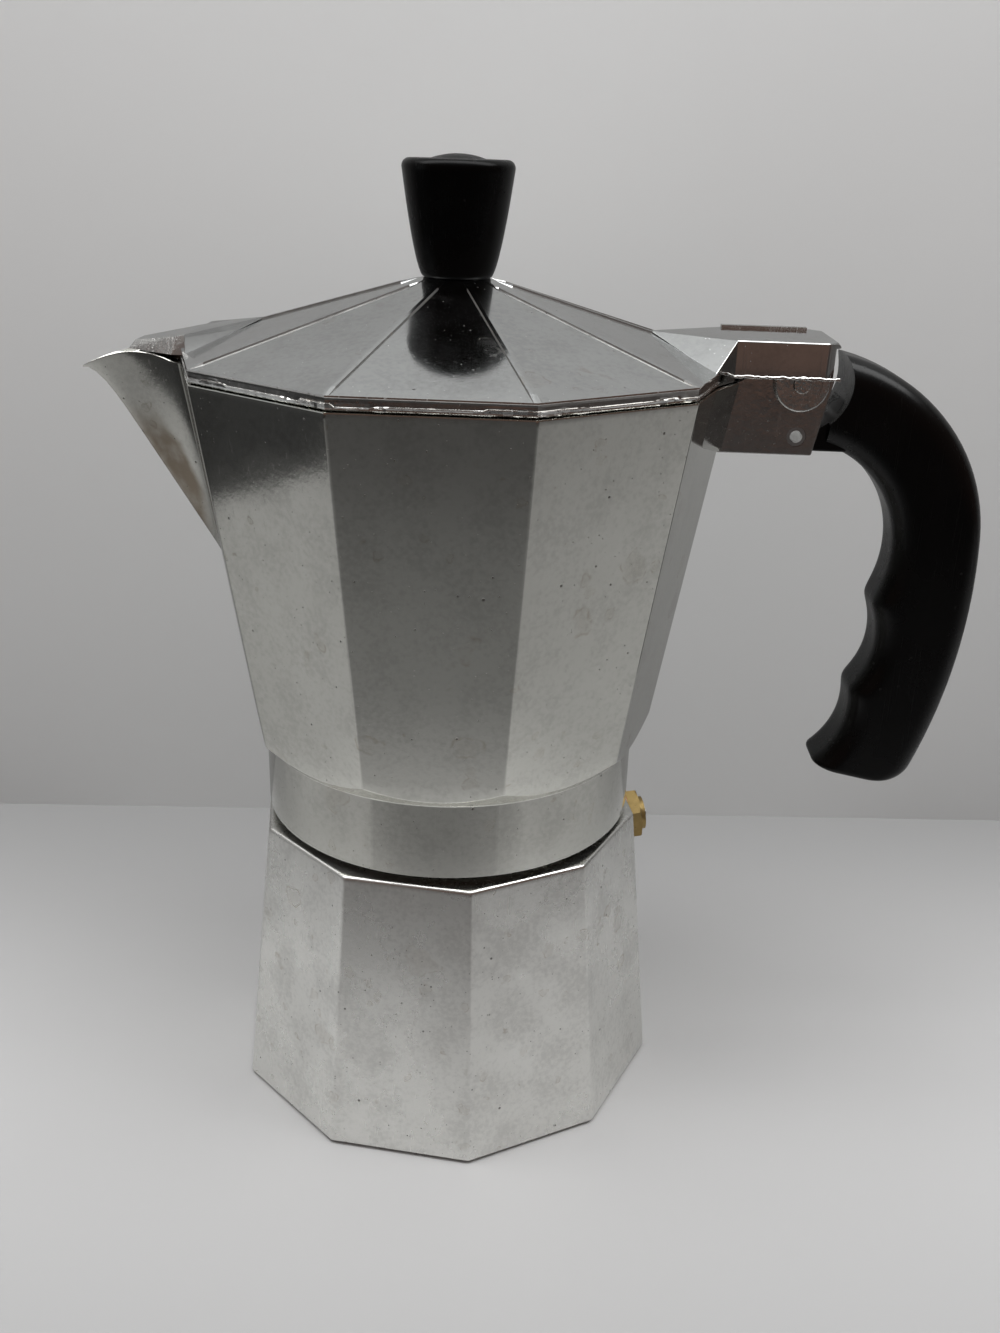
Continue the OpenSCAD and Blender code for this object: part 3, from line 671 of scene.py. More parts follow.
@dataclass(frozen=True)
class CastMetal(Coating):
    """Bright metal with the marks of use: aluminium, steel, brass or copper."""

    metallic: float = 1.0
    spread: float = 0.12
    grain: float = 0.02
    grain_scale: float = 900.0
    waves: float = 0.0
    pits: float = 0.1
    pit_scale: float = 620.0
    stains: float = 0.25
    stain_scale: float = 95.0
    scratches: float = 0.3
    scratch_scale: float = 60.0
    speckle: float = 0.25
    stain_colour: Colour = (0.30, 0.22, 0.13, 1.0)
    hole_colour: Colour = (0.09, 0.085, 0.08, 1.0)
    streak: bool = False
    streak_colour: Colour = (0.25, 0.205, 0.155, 1.0)

    def paint(self, graph: Graph, effects: Effects, where: Socket) -> tuple[Socket, ...]:
        """Lays down clouds, grain, stains, pits, scratches and rubbed edges.

        Args:
            graph: the material's graph.
            effects: the shared groups.
            where: the point on the surface.

        Returns:
            The colour, the roughness and the height in millimetres.
        """
        clouds, fog = [effects.place(graph, Effect.MOTTLE, where, Scale=scale)[0]
                       for scale in (26.0, 110.0)]
        holes = graph.most(*[
            effects.place(graph, Effect.PITS, where, Scale=self.pit_scale * finer,
                          Share=self.pits * more)[0] for finer, more in ((1.0, 1.0), (2.3, 1.4))])
        stains, drops = [
            effects.place(graph, Effect.STAINS, where, Scale=self.stain_scale * finer,
                          Share=self.stains * more) for finer, more in ((1.0, 1.0), (2.4, 0.8))]
        rings = graph.most(stains["Ring"], drops["Ring"])
        patches = graph.most(stains["Patch"], drops["Patch"])
        lines = effects.place(graph, Effect.SCRATCHES, where, Scale=self.scratch_scale,
                              Share=self.scratches)[0]
        grain = effects.place(graph, Effect.GRAIN, where, Scale=self.grain_scale)[0]
        rubbed = effects.place(graph, Effect.WEAR, where)[0]
        layers = [(clouds, 0.55, self.second),
                  (graph.remap(grain, 0.75, 1.2), self.speckle, dimmed(self.second, 0.5)),
                  (rings, 0.30, self.stain_colour), (patches, 0.09, self.stain_colour)]
        if self.streak:
            layers.append((self.coffee_streak(graph, where), 1.0, self.streak_colour))
        layers += [(holes, 0.75, self.hole_colour), (rubbed, 0.35, self.colour)]
        rough = graph.plus(self.roughness, (clouds, self.spread), (fog, self.spread * 0.5),
                           (patches, 0.05), (rings, 0.12), (holes, 0.35), (lines, 0.06))
        height = graph.plus(graph.product(grain, self.grain), (holes, -0.03), (lines, -0.0015),
                            (graph.noise(where, 38.0, 1.0), self.waves))
        return self.overlaid(graph, *layers), rough, height

    def coffee_streak(self, graph: Graph, where: Socket) -> Socket:
        """The brown run of coffee below the spout.

        Args:
            graph: the material's graph.
            where: the point on the surface.

        Returns:
            Its mask.
        """
        x, y, z = graph.split(where)
        # How far a point lies outside the collector's corner, and how near the keel.
        out = graph.remap(graph.product(x, -1.0), 0.0535, 0.0575)
        across = graph.math("ABSOLUTE", graph.math("ADD", y, 0.0016))
        narrow = graph.remap(graph.plus(across, (graph.noise(where, 160.0), 0.002)),
                             0.0038, 0.0024)
        bottom, top = graph.remap(z, 0.129, 0.133), graph.remap(z, 0.164, 0.152)
        broken = graph.remap(graph.noise(where, 240.0, 4.0), 0.25, 0.6, 0.65, 0.95)
        return graph.product(out, narrow, bottom, top, broken)


@dataclass(frozen=True)
class Moulding(Coating):
    """Moulded plastic or rubber, with a fine skin, dust and light scuffs."""

    skin: float = 0.004
    skin_scale: float = 1400.0
    dust: float = 0.12
    dust_colour: Colour = (0.35, 0.34, 0.33, 1.0)
    scuffs: float = 0.25

    def paint(self, graph: Graph, effects: Effects, where: Socket) -> tuple[Socket, ...]:
        """Lays down clouds, dust, scuffs and rubbed edges.

        Args:
            graph: the material's graph.
            effects: the shared groups.
            where: the point on the surface.

        Returns:
            The colour, the roughness and the height in millimetres.
        """
        clouds = effects.place(graph, Effect.MOTTLE, where, Scale=45.0)[0]
        dust = effects.place(graph, Effect.PITS, where, Scale=520.0, Share=self.dust)[0]
        lines = effects.place(graph, Effect.SCRATCHES, where, Scale=80.0, Share=self.scuffs)[0]
        skin = effects.place(graph, Effect.GRAIN, where, Scale=self.skin_scale)[0]
        rubbed = effects.place(graph, Effect.WEAR, where, Reach=0.08)[0]
        tint = self.overlaid(graph, (clouds, 0.35, self.second), (dust, 0.02, self.dust_colour),
                             (rubbed, 0.4, self.second))
        rough = graph.plus(self.roughness, (clouds, 0.10), (lines, 0.12), (dust, 0.2))
        return tint, rough, graph.plus(graph.product(skin, self.skin), (lines, -0.004))


class Finish(Enum):
    """Every finish on the pot."""

    BOILER = CastMetal("boiler_cast_aluminium", (0.82, 0.82, 0.79, 1), (0.70, 0.70, 0.67, 1),
                       roughness=0.20, grain=0.010, waves=0.08, pits=0.06, stains=0.30)
    COLLECTOR = CastMetal("collector_cast_aluminium", (0.68, 0.68, 0.635, 1),
                          (0.60, 0.60, 0.555, 1), roughness=0.08, spread=0.05, grain=0.008,
                          waves=0.05, pits=0.05, stains=0.22, scratches=0.25, streak=True)
    LID = CastMetal("lid_polished_aluminium", (0.66, 0.675, 0.67, 1), (0.55, 0.56, 0.555, 1),
                    roughness=0.045, spread=0.06, grain=0.004, waves=0.035, pits=0.06,
                    stains=0.22, scratches=0.35)
    RAW = CastMetal("raw_casting_skin", (0.60, 0.59, 0.57, 1), (0.34, 0.33, 0.31, 1),
                    roughness=0.09, spread=0.10, grain=0.03, grain_scale=600.0, pits=0.25,
                    stains=0.3, scratches=0.7, scratch_scale=90.0)
    FLASH = CastMetal("trimmed_flash", (0.74, 0.74, 0.72, 1), (0.30, 0.29, 0.28, 1),
                      roughness=0.12, spread=0.15, grain=0.16, grain_scale=420.0, pits=0.3,
                      pit_scale=600.0, stains=0.1, scratches=0.8, scratch_scale=110.0)
    # Painted shade: a dark colour on the thin walls of the lid's ridges, standing in for the
    # shadow lines along them.
    RIDGE_WALL_SHADE = CastMetal("ridge_wall_painted_shade", (0.30, 0.295, 0.285, 1), (0.16, 0.155, 0.15, 1),
                      roughness=0.30, spread=0.15, pits=0.2, stains=0.1)
    SHEET = CastMetal("pressed_sheet_aluminium", (0.66, 0.66, 0.64, 1), (0.50, 0.49, 0.47, 1),
                      roughness=0.26, spread=0.15, grain=0.006, pits=0.05, stains=0.4,
                      scratches=0.5)
    STEEL = CastMetal("pin_steel_finish", (0.46, 0.45, 0.43, 1), (0.26, 0.24, 0.22, 1),
                      roughness=0.24, spread=0.2, grain=0.03, pits=0.2, stains=0.2,
                      scratches=0.7, scratch_scale=160.0)
    SPRING = CastMetal("spring_wire_finish", (0.52, 0.52, 0.52, 1), (0.40, 0.39, 0.38, 1),
                       roughness=0.22, spread=0.1, grain=0.01, pits=0.05, stains=0.1)
    BRASS = CastMetal("tarnished_brass", (0.40, 0.29, 0.12, 1), (0.15, 0.10, 0.045, 1),
                      roughness=0.34, spread=0.25, grain=0.03, pits=0.25, stains=0.5,
                      stain_scale=260.0, scratches=0.5, scratch_scale=150.0)
    COPPER = CastMetal("washer_copper_finish", (0.62, 0.34, 0.22, 1), (0.34, 0.19, 0.12, 1),
                       roughness=0.32, spread=0.2, pits=0.15, stains=0.4, stain_scale=260.0)
    ROLL_PIN = CastMetal("roll_pin_finish", (0.86, 0.86, 0.85, 1), (0.74, 0.74, 0.72, 1),
                         roughness=0.03, spread=0.05, grain=0.002, pits=0.0, stains=0.0,
                         scratches=0.1)
    HANDLE = Moulding("handle_black_bakelite", (0.0012, 0.0012, 0.0012, 1),
                      (0.003, 0.003, 0.003, 1), roughness=0.20, skin=0.002, dust=0.06,
                      shine=0.22)
    KNOB = Moulding("knob_black_bakelite", (0.0012, 0.0012, 0.0012, 1),
                    (0.003, 0.003, 0.003, 1), roughness=0.22, skin=0.002, dust=0.08, shine=0.10)
    RUBBER = Moulding("gasket_white_rubber", (0.70, 0.68, 0.62, 1), (0.56, 0.52, 0.44, 1),
                      roughness=0.6, skin=0.02, skin_scale=700.0, dust=0.2, scuffs=0.1)


@dataclass
class Workshop:
    """Holds the made finishes and puts pieces in place."""

    effects: Effects = field(default_factory=Effects)
    made: dict[Finish, bpy.types.Material] = field(default_factory=dict)

    def prepare(self) -> None:
        """Builds the effects and every finish."""
        self.effects.build()
        for finish in Finish:
            self.made[finish] = finish.value.material(self.effects)

    def coat(self, piece: bpy.types.Object, *finishes: Finish,
             choose: Callable[[Vector], int] = lambda middle: 0) -> None:
        """Gives a piece its materials.

        Args:
            piece: the object.
            *finishes: its finishes, one material slot each.
            choose: the slot of a face from its middle, in millimetres.
        """
        for finish in finishes:
            piece.data.materials.append(self.made[finish])
        for face in piece.data.polygons:
            face.material_index = choose(face.center / MM)

    def fit(self, piece: bpy.types.Object, body: str, slot: str, *nodes: str) -> None:
        """Puts a piece on its body, in place of CAD nodes.

        Args:
            piece: the object.
            body: the CAD body that it rides on.
            slot: the record's material slot; not used.
            *nodes: the CAD nodes that it stands for.
        """
        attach(piece, body)
        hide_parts(*nodes)
        LOG.info("%s rides on %s: %d faces", piece.name, body, len(piece.data.polygons))

    def repaint(self, node: str, finish: Finish) -> None:
        """Gives a CAD node that stays in view its finish.

        Args:
            node: the node's name.
            finish: its finish.
        """
        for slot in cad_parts[node].material_slots:
            slot.material = self.made[finish]
        LOG.info("%s keeps its shape, in %s", node, finish.name.lower())


# --- Sub-assemblies -----------------------------------------------------------------------


@dataclass
class Valve:
    """The safety valve's body: a chamfered hexagon on a threaded shank."""

    azimuth: float = 10.4
    height: float = 59.5
    boiler_slope: float = 0.1007
    reach: float = 43.94
    flats: float = 11.4
    hex_t: float = 3.2
    washer: float = 1.0
    shank_r: float = 3.5
    shank_in: float = 7.6
    thread_pitch: float = 0.6
    bore_r: float = 2.1
    seat_t: float = 2.2
    stem_hole: float = 1.4
    boiler_hole: float = 3.55
    boiler_hole_half: float = 9.0

    def place(self, piece: Mesh) -> Mesh:
        """Sets a piece on the valve's axis.

        Args:
            piece: the mesh, with +Z outward.

        Returns:
            The same mesh.
        """
        matrix = (Matrix.Rotation(math.radians(self.azimuth), 4, "Z")
                  @ Matrix.Translation((self.reach, 0.0, self.height))
                  @ Matrix.Rotation(math.radians(90) - math.atan(self.boiler_slope), 4, "Y"))
        bmesh.ops.transform(piece, matrix=matrix, verts=piece.verts)
        return piece

    def hole(self) -> Mesh:
        """Returns what the valve takes out of the boiler's wall."""
        r, far = self.boiler_hole, self.boiler_hole_half
        return self.place(lathe([(0, -far), (r, -far), (r, far), (0, far)], 48))

    def hexagon(self, z: float, inset: float = 0.0, drop: float = 0.0) -> Ring:
        """Ring of the hexagon.

        Args:
            z: height.
            inset: how far its sides are drawn in.
            drop: how steeply its corners fall below z, as the turned chamfer cuts them.

        Returns:
            The ring.
        """
        ring = []
        apothem = self.flats / 2 - inset
        for i in range(72):
            turn = i * 5.0
            radius = apothem / math.cos(math.radians((turn + 30) % 60 - 30))
            c, s = toward(turn + 30)
            ring.append((radius * c, radius * s, z - drop * max(0.0, radius - apothem + 0.15)))
        return ring

    def build(self) -> bpy.types.Object:
        """Builds the valve's body.

        Returns:
            The object.
        """
        top = self.washer + self.hex_t
        rings = [self.hexagon(self.washer, 0.15), self.hexagon(self.washer + 0.2),
                 self.hexagon(top, 0.0, 0.62), self.hexagon(top, 0.25, 0.3)]
        # From the hexagon's face down the bore, round the shank's end and back up its thread.
        seat = self.seat_t - self.shank_in
        circles = [(self.flats / 2 - 0.5, top), (self.bore_r + 0.3, top), (self.bore_r, top - 0.3),
                   (self.bore_r, seat), (self.stem_hole, seat), (self.stem_hole, -self.shank_in),
                   (self.shank_r - 0.4, -self.shank_in), (self.shank_r, 0.4 - self.shank_in)]
        z = 0.9 - self.shank_in
        while z < -3.4:
            circles += [(self.shank_r, z), (self.shank_r - 0.3, z + 0.3)]
            z += self.thread_pitch
        circles += [(self.shank_r, -3.2), (self.shank_r, self.washer - 0.02)]
        guide = self.hexagon(0.0)
        rings += [onto_circle(guide, r, h) for r, h in circles]
        return as_object("valve_head", [self.place(loft(rings, closed=True))], sharp=28)

    def dress(self, shop: Workshop, piece: bpy.types.Object) -> None:
        """Dresses the valve in tarnished brass."""
        shop.coat(piece, Finish.BRASS)
        shop.fit(piece, "boiler", "valve_brass", "valve_body")


@dataclass
class Boiler:
    """The ten-sided water tank with its round threaded neck."""

    valve: Valve
    base_r: float = 52.5
    top_r: float = 45.3
    height: float = 68.0
    wall: float = 3.0
    floor: float = 3.5
    shoulder: float = 3.4
    twist: float = -7.6
    neck_r: float = 36.8
    neck_h: float = 13.0
    bore_r: float = 31.4
    pitch: float = 3.0
    thread: float = 1.2
    thread_start: float = 2.4
    thread_turns: int = 3
    corner: float = 1.6
    edge: float = 0.7
    levels: tuple[float, ...] = (1.6, 12.0, 24.0, 36.0, 48.0, 60.0, 66.6)

    def ring(self, z: float, inset: float = 0.0) -> Ring:
        """Returns the boiler's outline at a height, drawn in by inset."""
        radius = self.base_r + (self.top_r - self.base_r) * z / self.height - inset / FACE
        return ten_ring(radius, z, self.twist, max(0.3, self.corner - inset * 0.4))

    def neck(self) -> list[Place]:
        """The neck with its thread and bore.

        Returns:
            (radius, height over the shoulder), up the outside and down the bore.
        """
        r, top, bore = self.neck_r, self.neck_h, self.bore_r
        profile = [(r + 0.5, 0.0), (r + 0.15, 0.15), (r, 0.5)]
        for turn in range(self.thread_turns):
            z = self.thread_start + turn * self.pitch
            profile += [(r, z - self.thread), (r + self.thread, z - 0.2),
                        (r + self.thread, z + 0.2), (r, z + self.thread)]
        return profile + [(r, top - 0.6), (r - 0.6, top), (bore + 0.4, top), (bore, top - 0.4),
                          (bore, -self.shoulder + 0.3), (bore + 0.3, -self.shoulder)]

    def shell(self) -> Mesh:
        """The cast body, from the middle of its foot round to the middle of its floor.

        Returns:
            The mesh.
        """
        rings = [self.ring(0.0, 1.3), self.ring(0.0, 1.0), self.ring(0.3, 0.55), self.ring(1.0)]
        rings += [self.ring(z) for z in self.levels]
        for turn in (0, 30, 60, 90):
            c, s = toward(turn)
            rings.append(self.ring(self.height - self.edge + self.edge * s,
                                   self.edge - self.edge * c))
        rings.append(self.ring(self.height, 1.6))
        last = rings[-1]
        rings += [onto_circle(last, r, self.height + z) for r, z in self.neck()]
        under = self.height - self.shoulder
        rings += [self.ring(z, self.wall + inset) for z, inset in (
            (under, 1.5), (under - 1.5, 0.0), (self.floor + 2.0, 0.0), (self.floor + 0.5, 0.6),
            (self.floor, 2.2))]
        return loft(rings, cap_start=True, cap_end=True)

    def build(self) -> bpy.types.Object:
        """Returns the boiler with the valve's hole."""
        return as_object("boiler_casting", [carve(self.shell(), self.valve.hole())])

    def dress(self, shop: Workshop, piece: bpy.types.Object) -> None:
        """Dresses the boiler.

        Args:
            shop: the finishes.
            piece: the boiler's object.
        """
        def part(co: Vector) -> int:
            """Returns 0 on the satin skin, and 1 on the neck, the inside and the foot."""
            return int(math.hypot(co.x, co.y) < 37.6 and co.z > 60 or co.z < 0.2)
        shop.coat(piece, Finish.BOILER, Finish.SHEET, choose=part)
        shop.fit(piece, "boiler", "boiler_aluminium", "boiler")


@dataclass
class Collector:
    """The ten-sided upper pot: collar, facets, spout, column and handle bracket."""

    foot_r: float = 46.7
    rim_z: float = 171.5
    collar_r: float = 43.1
    collar_z: float = 69.6
    collar_top: float = 87.6
    wall: float = 2.6
    floor: float = 91.0
    corner: float = 1.3
    skin_levels: tuple[float, ...] = (94.0, 102.0, 110.0, 118.0, 124.0)
    inner_levels: tuple[float, ...] = (128.0, 112.0, 97.0, 93.2)
    spout_levels: tuple[float, ...] = (0.0, 0.09, 0.18, 0.27, 0.36, 0.45, 0.54, 0.63, 0.72,
                                       0.80, 0.87, 0.93, 0.97)
    spout_reach: float = 19.6
    spout_flare: float = 1.9
    spout_half_w: float = 11.5
    spout_h: float = 43.5
    keel_share: float = 0.15
    lip_rise: float = 1.4
    tip_drop: float = 3.0
    spout_wall: float = 2.0
    columns: int = 28
    # (radius, height) of the chamber's floor, dome and column, from the outside in and up.
    column: Profile = ((35.2, 91.0), (33.8, 91.3), (24.0, 96.5), (14.0, 101.9), (11.6, 103.5),
                       (10.3, 106.5), (9.7, 112.0), (8.7, 130.0), (7.5, 151.5), (7.3, 152.3),
                       (5.7, 154.7), (5.2, 155.0))
    # The same for the seats of gasket and plate, the underside and the column's bore.
    underside: Profile = ((38.3, 70.2), (38.3, 82.0), (36.3, 82.0), (36.3, 86.4), (31.2, 86.4),
                          (31.2, 88.0), (20.0, 93.0), (8.0, 98.3), (4.4, 101.0), (4.4, 151.0))
    outlet_half_w: float = 3.08
    outlet_reach: float = 9.6
    outlet_z: tuple[float, float] = (139.0, 150.0)
    bracket_w: float = 18.0
    cheek_t: float = 2.4
    bracket_x: float = 79.0
    bracket_h: float = 15.8
    bracket_rise: float = 0.9
    hinge_hole: float = 1.8
    root_slope: float = 16.0
    stop_angle: float = 10.9

    @property
    def slope(self) -> float:
        """Outward lean of the corners, as a ratio."""
        return (RIM_R - self.foot_r) / (self.rim_z - self.collar_top)

    @property
    def bracket_low(self) -> float:
        """Height of the bracket's lower edge."""
        return self.rim_z + self.bracket_rise - self.bracket_h

    def corner_r(self, z: float) -> float:
        """Returns the radius across the sharp corners at a height."""
        return self.foot_r + self.slope * (z - self.collar_top)

    def spout_half(self, level: float, inset: float) -> float:
        """Returns half the spout's width, by its level and the wall left off."""
        wide = self.keel_share + (1 - self.keel_share) * max(0.0, level)
        return (self.spout_half_w - inset) * wide

    def spout_x(self, y: float, corner_r: float, level: float, inset: float) -> float:
        """How far the outline lies from the axis near the spout's corner.

        Args:
            y: distance from the mid-plane.
            corner_r: radius across the corners at this height.
            level: 0 where the keel starts, 1 at the rim.
            inset: 0 on the outside, the wall's thickness on the inside.

        Returns:
            The distance along -X.
        """
        plain = corner_r - abs(y) * math.tan(HALF_SIDE)
        round_r = 0.8
        if abs(y) < round_r * math.sin(HALF_SIDE):
            plain = corner_r - round_r / FACE + math.sqrt(round_r ** 2 - y ** 2)
        share = max(0.0, 1 - abs(y) / self.spout_half(level, inset))
        if inset:
            plain -= self.wall / FACE - (self.wall / FACE - inset) * ease(share, 0.0, 0.2)
        if level <= 0 or share <= 0:
            return plain
        # A V with a slightly rounded keel, concave beside it.
        soft = 1.04 - math.sqrt((1 - share) ** 2 + 0.0016)
        out = max(0.0, self.spout_reach * level + self.spout_flare * level ** 14 - inset * 1.6)
        return plain + out * min(1.0, soft) ** 1.5

    def ring(self, z: float, inset: float = 0.0, deeper: float = 0.0, lip: float = 0.0) -> Ring:
        """The collector's outline at a height.

        Args:
            z: the height.
            inset: 0 for the outside, the spout's wall for the inside.
            deeper: draws the outline in further, for rounded edges.
            lip: raises the spout's points, as a share of the lip's own shape.

        Returns:
            The ring, with its points gathered at the spout's corner.
        """
        corner_r = self.corner_r(z)
        level = min(1.0, (z - self.rim_z + self.spout_h) / self.spout_h)
        plain_r = corner_r - (self.wall / FACE if inset else 0.0) - deeper / FACE
        corners = [corner_run(plain_r, z, TURN * k, self.corner) for k in range(SIDES)]
        half = self.spout_half(level, inset)
        spout = []
        for i in range(self.columns + 1):
            y = half * (1 - 2 * i / self.columns)
            x = self.spout_x(y, corner_r, level, inset) - deeper
            spout.append((-x, y, z + lip * self.lip_shape(1 - abs(y) / half)))
        corners[SIDES // 2] = spout
        return join_corners(corners, SIDE_POINTS)

    def lip_shape(self, share: float) -> float:
        """Returns the lip's rise above the rim, by the share of the way to the spout's middle."""
        rise = math.sin(math.pi * min(1.0, max(0.0, share - 1 / 6) * 1.32))
        return self.lip_rise * rise - self.tip_drop * share ** 4

    def chamfer_ring(self, offset: float) -> Ring:
        """The curve where the turned chamfer meets the facets.

        Args:
            offset: how far above it, up the facets, or below it, down the chamfer.

        Returns:
            The ring.
        """
        out = []
        low, high = self.ring(self.collar_top), self.ring(self.collar_top + 10)
        for (x0, y0, z0), (x1, y1, _) in zip(low, high):
            r0, r1 = math.hypot(x0, y0), math.hypot(x1, y1)
            # Where the facet's radius equals the chamfer's, which grows as fast as its height.
            rise = (r0 - self.collar_r) / (1 - (r1 - r0) / 10)
            radius = self.collar_r + rise + offset
            if offset > 0:
                radius = r0 + (r1 - r0) / 10 * (rise + offset)
            out.append((x0 / r0 * radius, y0 / r0 * radius, z0 + rise + offset))
        return out

    def shell(self) -> Mesh:
        """The turned and faceted body, from the column's top out, down and in to its bore.

        Returns:
            The mesh.
        """
        rim, base_z = self.rim_z, self.rim_z - self.spout_h
        outer = [self.ring(z) for z in self.skin_levels]
        outer += [self.ring(base_z + self.spout_h * s, lip=s ** 12) for s in self.spout_levels]
        outer += [self.ring(rim - drop, 0.0, deeper, 1)
                  for drop, deeper in ((0.35, 0.0), (0.1, 0.1), (0.0, 0.35))]
        inner = [self.ring(rim - drop, self.spout_wall, deeper, 1)
                 for drop, deeper in ((0.0, -0.35), (0.1, -0.1), (0.35, 0.0))]
        inner += [self.ring(base_z + self.spout_h * s, self.spout_wall, lip=s ** 12)
                  for s in reversed(self.spout_levels[1:])]
        inner += [self.ring(z, self.spout_wall) for z in self.inner_levels]
        inner += [self.ring(z, self.spout_wall, deeper)
                  for z, deeper in ((91.6, 0.8), (self.floor, 2.6))]
        guide = self.ring(100.0)
        centre = [onto_circle(guide, r, z) for r, z in self.column]
        collar = [(self.collar_r + 0.22, 87.82), (self.collar_r, 87.3), (self.collar_r, 78.0),
                  (self.collar_r, 70.3), (self.collar_r - 0.7, self.collar_z),
                  (38.9, self.collar_z)]
        rings = centre[::-1] + inner[::-1] + outer[::-1]
        rings += [self.chamfer_ring(0.25), self.chamfer_ring(-0.25)]
        rings += [onto_circle(guide, r, z) for r, z in collar + list(self.underside)]
        return loft(rings, cap_start=True, cap_end=True)

    def cheek(self, side: int) -> Mesh:
        """One cheek of the bracket, with its two pin holes.

        Args:
            side: -1 or 1, along Y.

        Returns:
            The mesh.
        """
        top = self.rim_z + self.bracket_rise
        back = self.bracket_x - self.bracket_h * math.tan(math.radians(self.stop_angle))
        outline = [(56.0, self.bracket_low), (back, self.bracket_low), (self.bracket_x, top),
                   (60.8, top), (59.4, self.rim_z), (56.0, self.rim_z)]
        near, far = side * (self.bracket_w / 2 - self.cheek_t), side * self.bracket_w / 2
        plate = soften(prism(outline, near, far), 0.35, 2)
        holes = ((HINGE, self.hinge_hole), (ROLL_PIN, ROLL_PIN_R))
        return carve(plate, *[prism(disc(place, r), -THROUGH, THROUGH) for place, r in holes])

    def root(self) -> Mesh:
        """The wedge that carries the cheeks, spread over the wall.

        Returns:
            The mesh.
        """
        low_edge = self.bracket_low
        points = []
        # Each row: x at the rim, x at the foot, and how far it lies from the mid-plane.
        for x, foot_x, y in ((45.9, 45.4, 33.2), (58.9, 56.2, 9.05), (60.6, 58.0, 7.0)):
            low = low_edge + max(0.05, (y - 9) * math.tan(math.radians(self.root_slope)))
            for s in (-1, 1):
                points += [(x, s * y, self.rim_z - 0.05), (foot_x, s * y, low)]
        return soften(wrapped(points), 0.9, 4)

    def build(self) -> bpy.types.Object:
        """Builds the whole casting.

        Returns:
            The object.
        """
        half, reach, (low, high) = self.outlet_half_w, self.outlet_reach, self.outlet_z
        body = carve(self.shell(), block((-half, -reach, low), (half, reach, high)))
        return as_object("collector_casting", [body, self.root(), self.cheek(-1), self.cheek(1)])

    def dress(self, shop: Workshop, piece: bpy.types.Object) -> None:
        """Dresses the casting.

        Args:
            shop: the finishes.
            piece: the collector's object.
        """
        def part(co: Vector) -> int:
            """Finds the finish of a face.

            Args:
                co: the face's middle.

            Returns:
                0 on the satin skin, 1 on the filed bracket and 2 on the underside.
            """
            out = (co.x - self.corner_r(co.z)) * FACE + abs(co.y) * math.sin(HALF_SIDE)
            if co.x > 50 and out > 0.08:
                return 1
            return 2 if math.hypot(co.x, co.y) < 38.5 and co.z < 89 else 0
        shop.coat(piece, Finish.COLLECTOR, Finish.RAW, Finish.SHEET, choose=part)
        shop.fit(piece, "collector", "collector_aluminium", "collector")


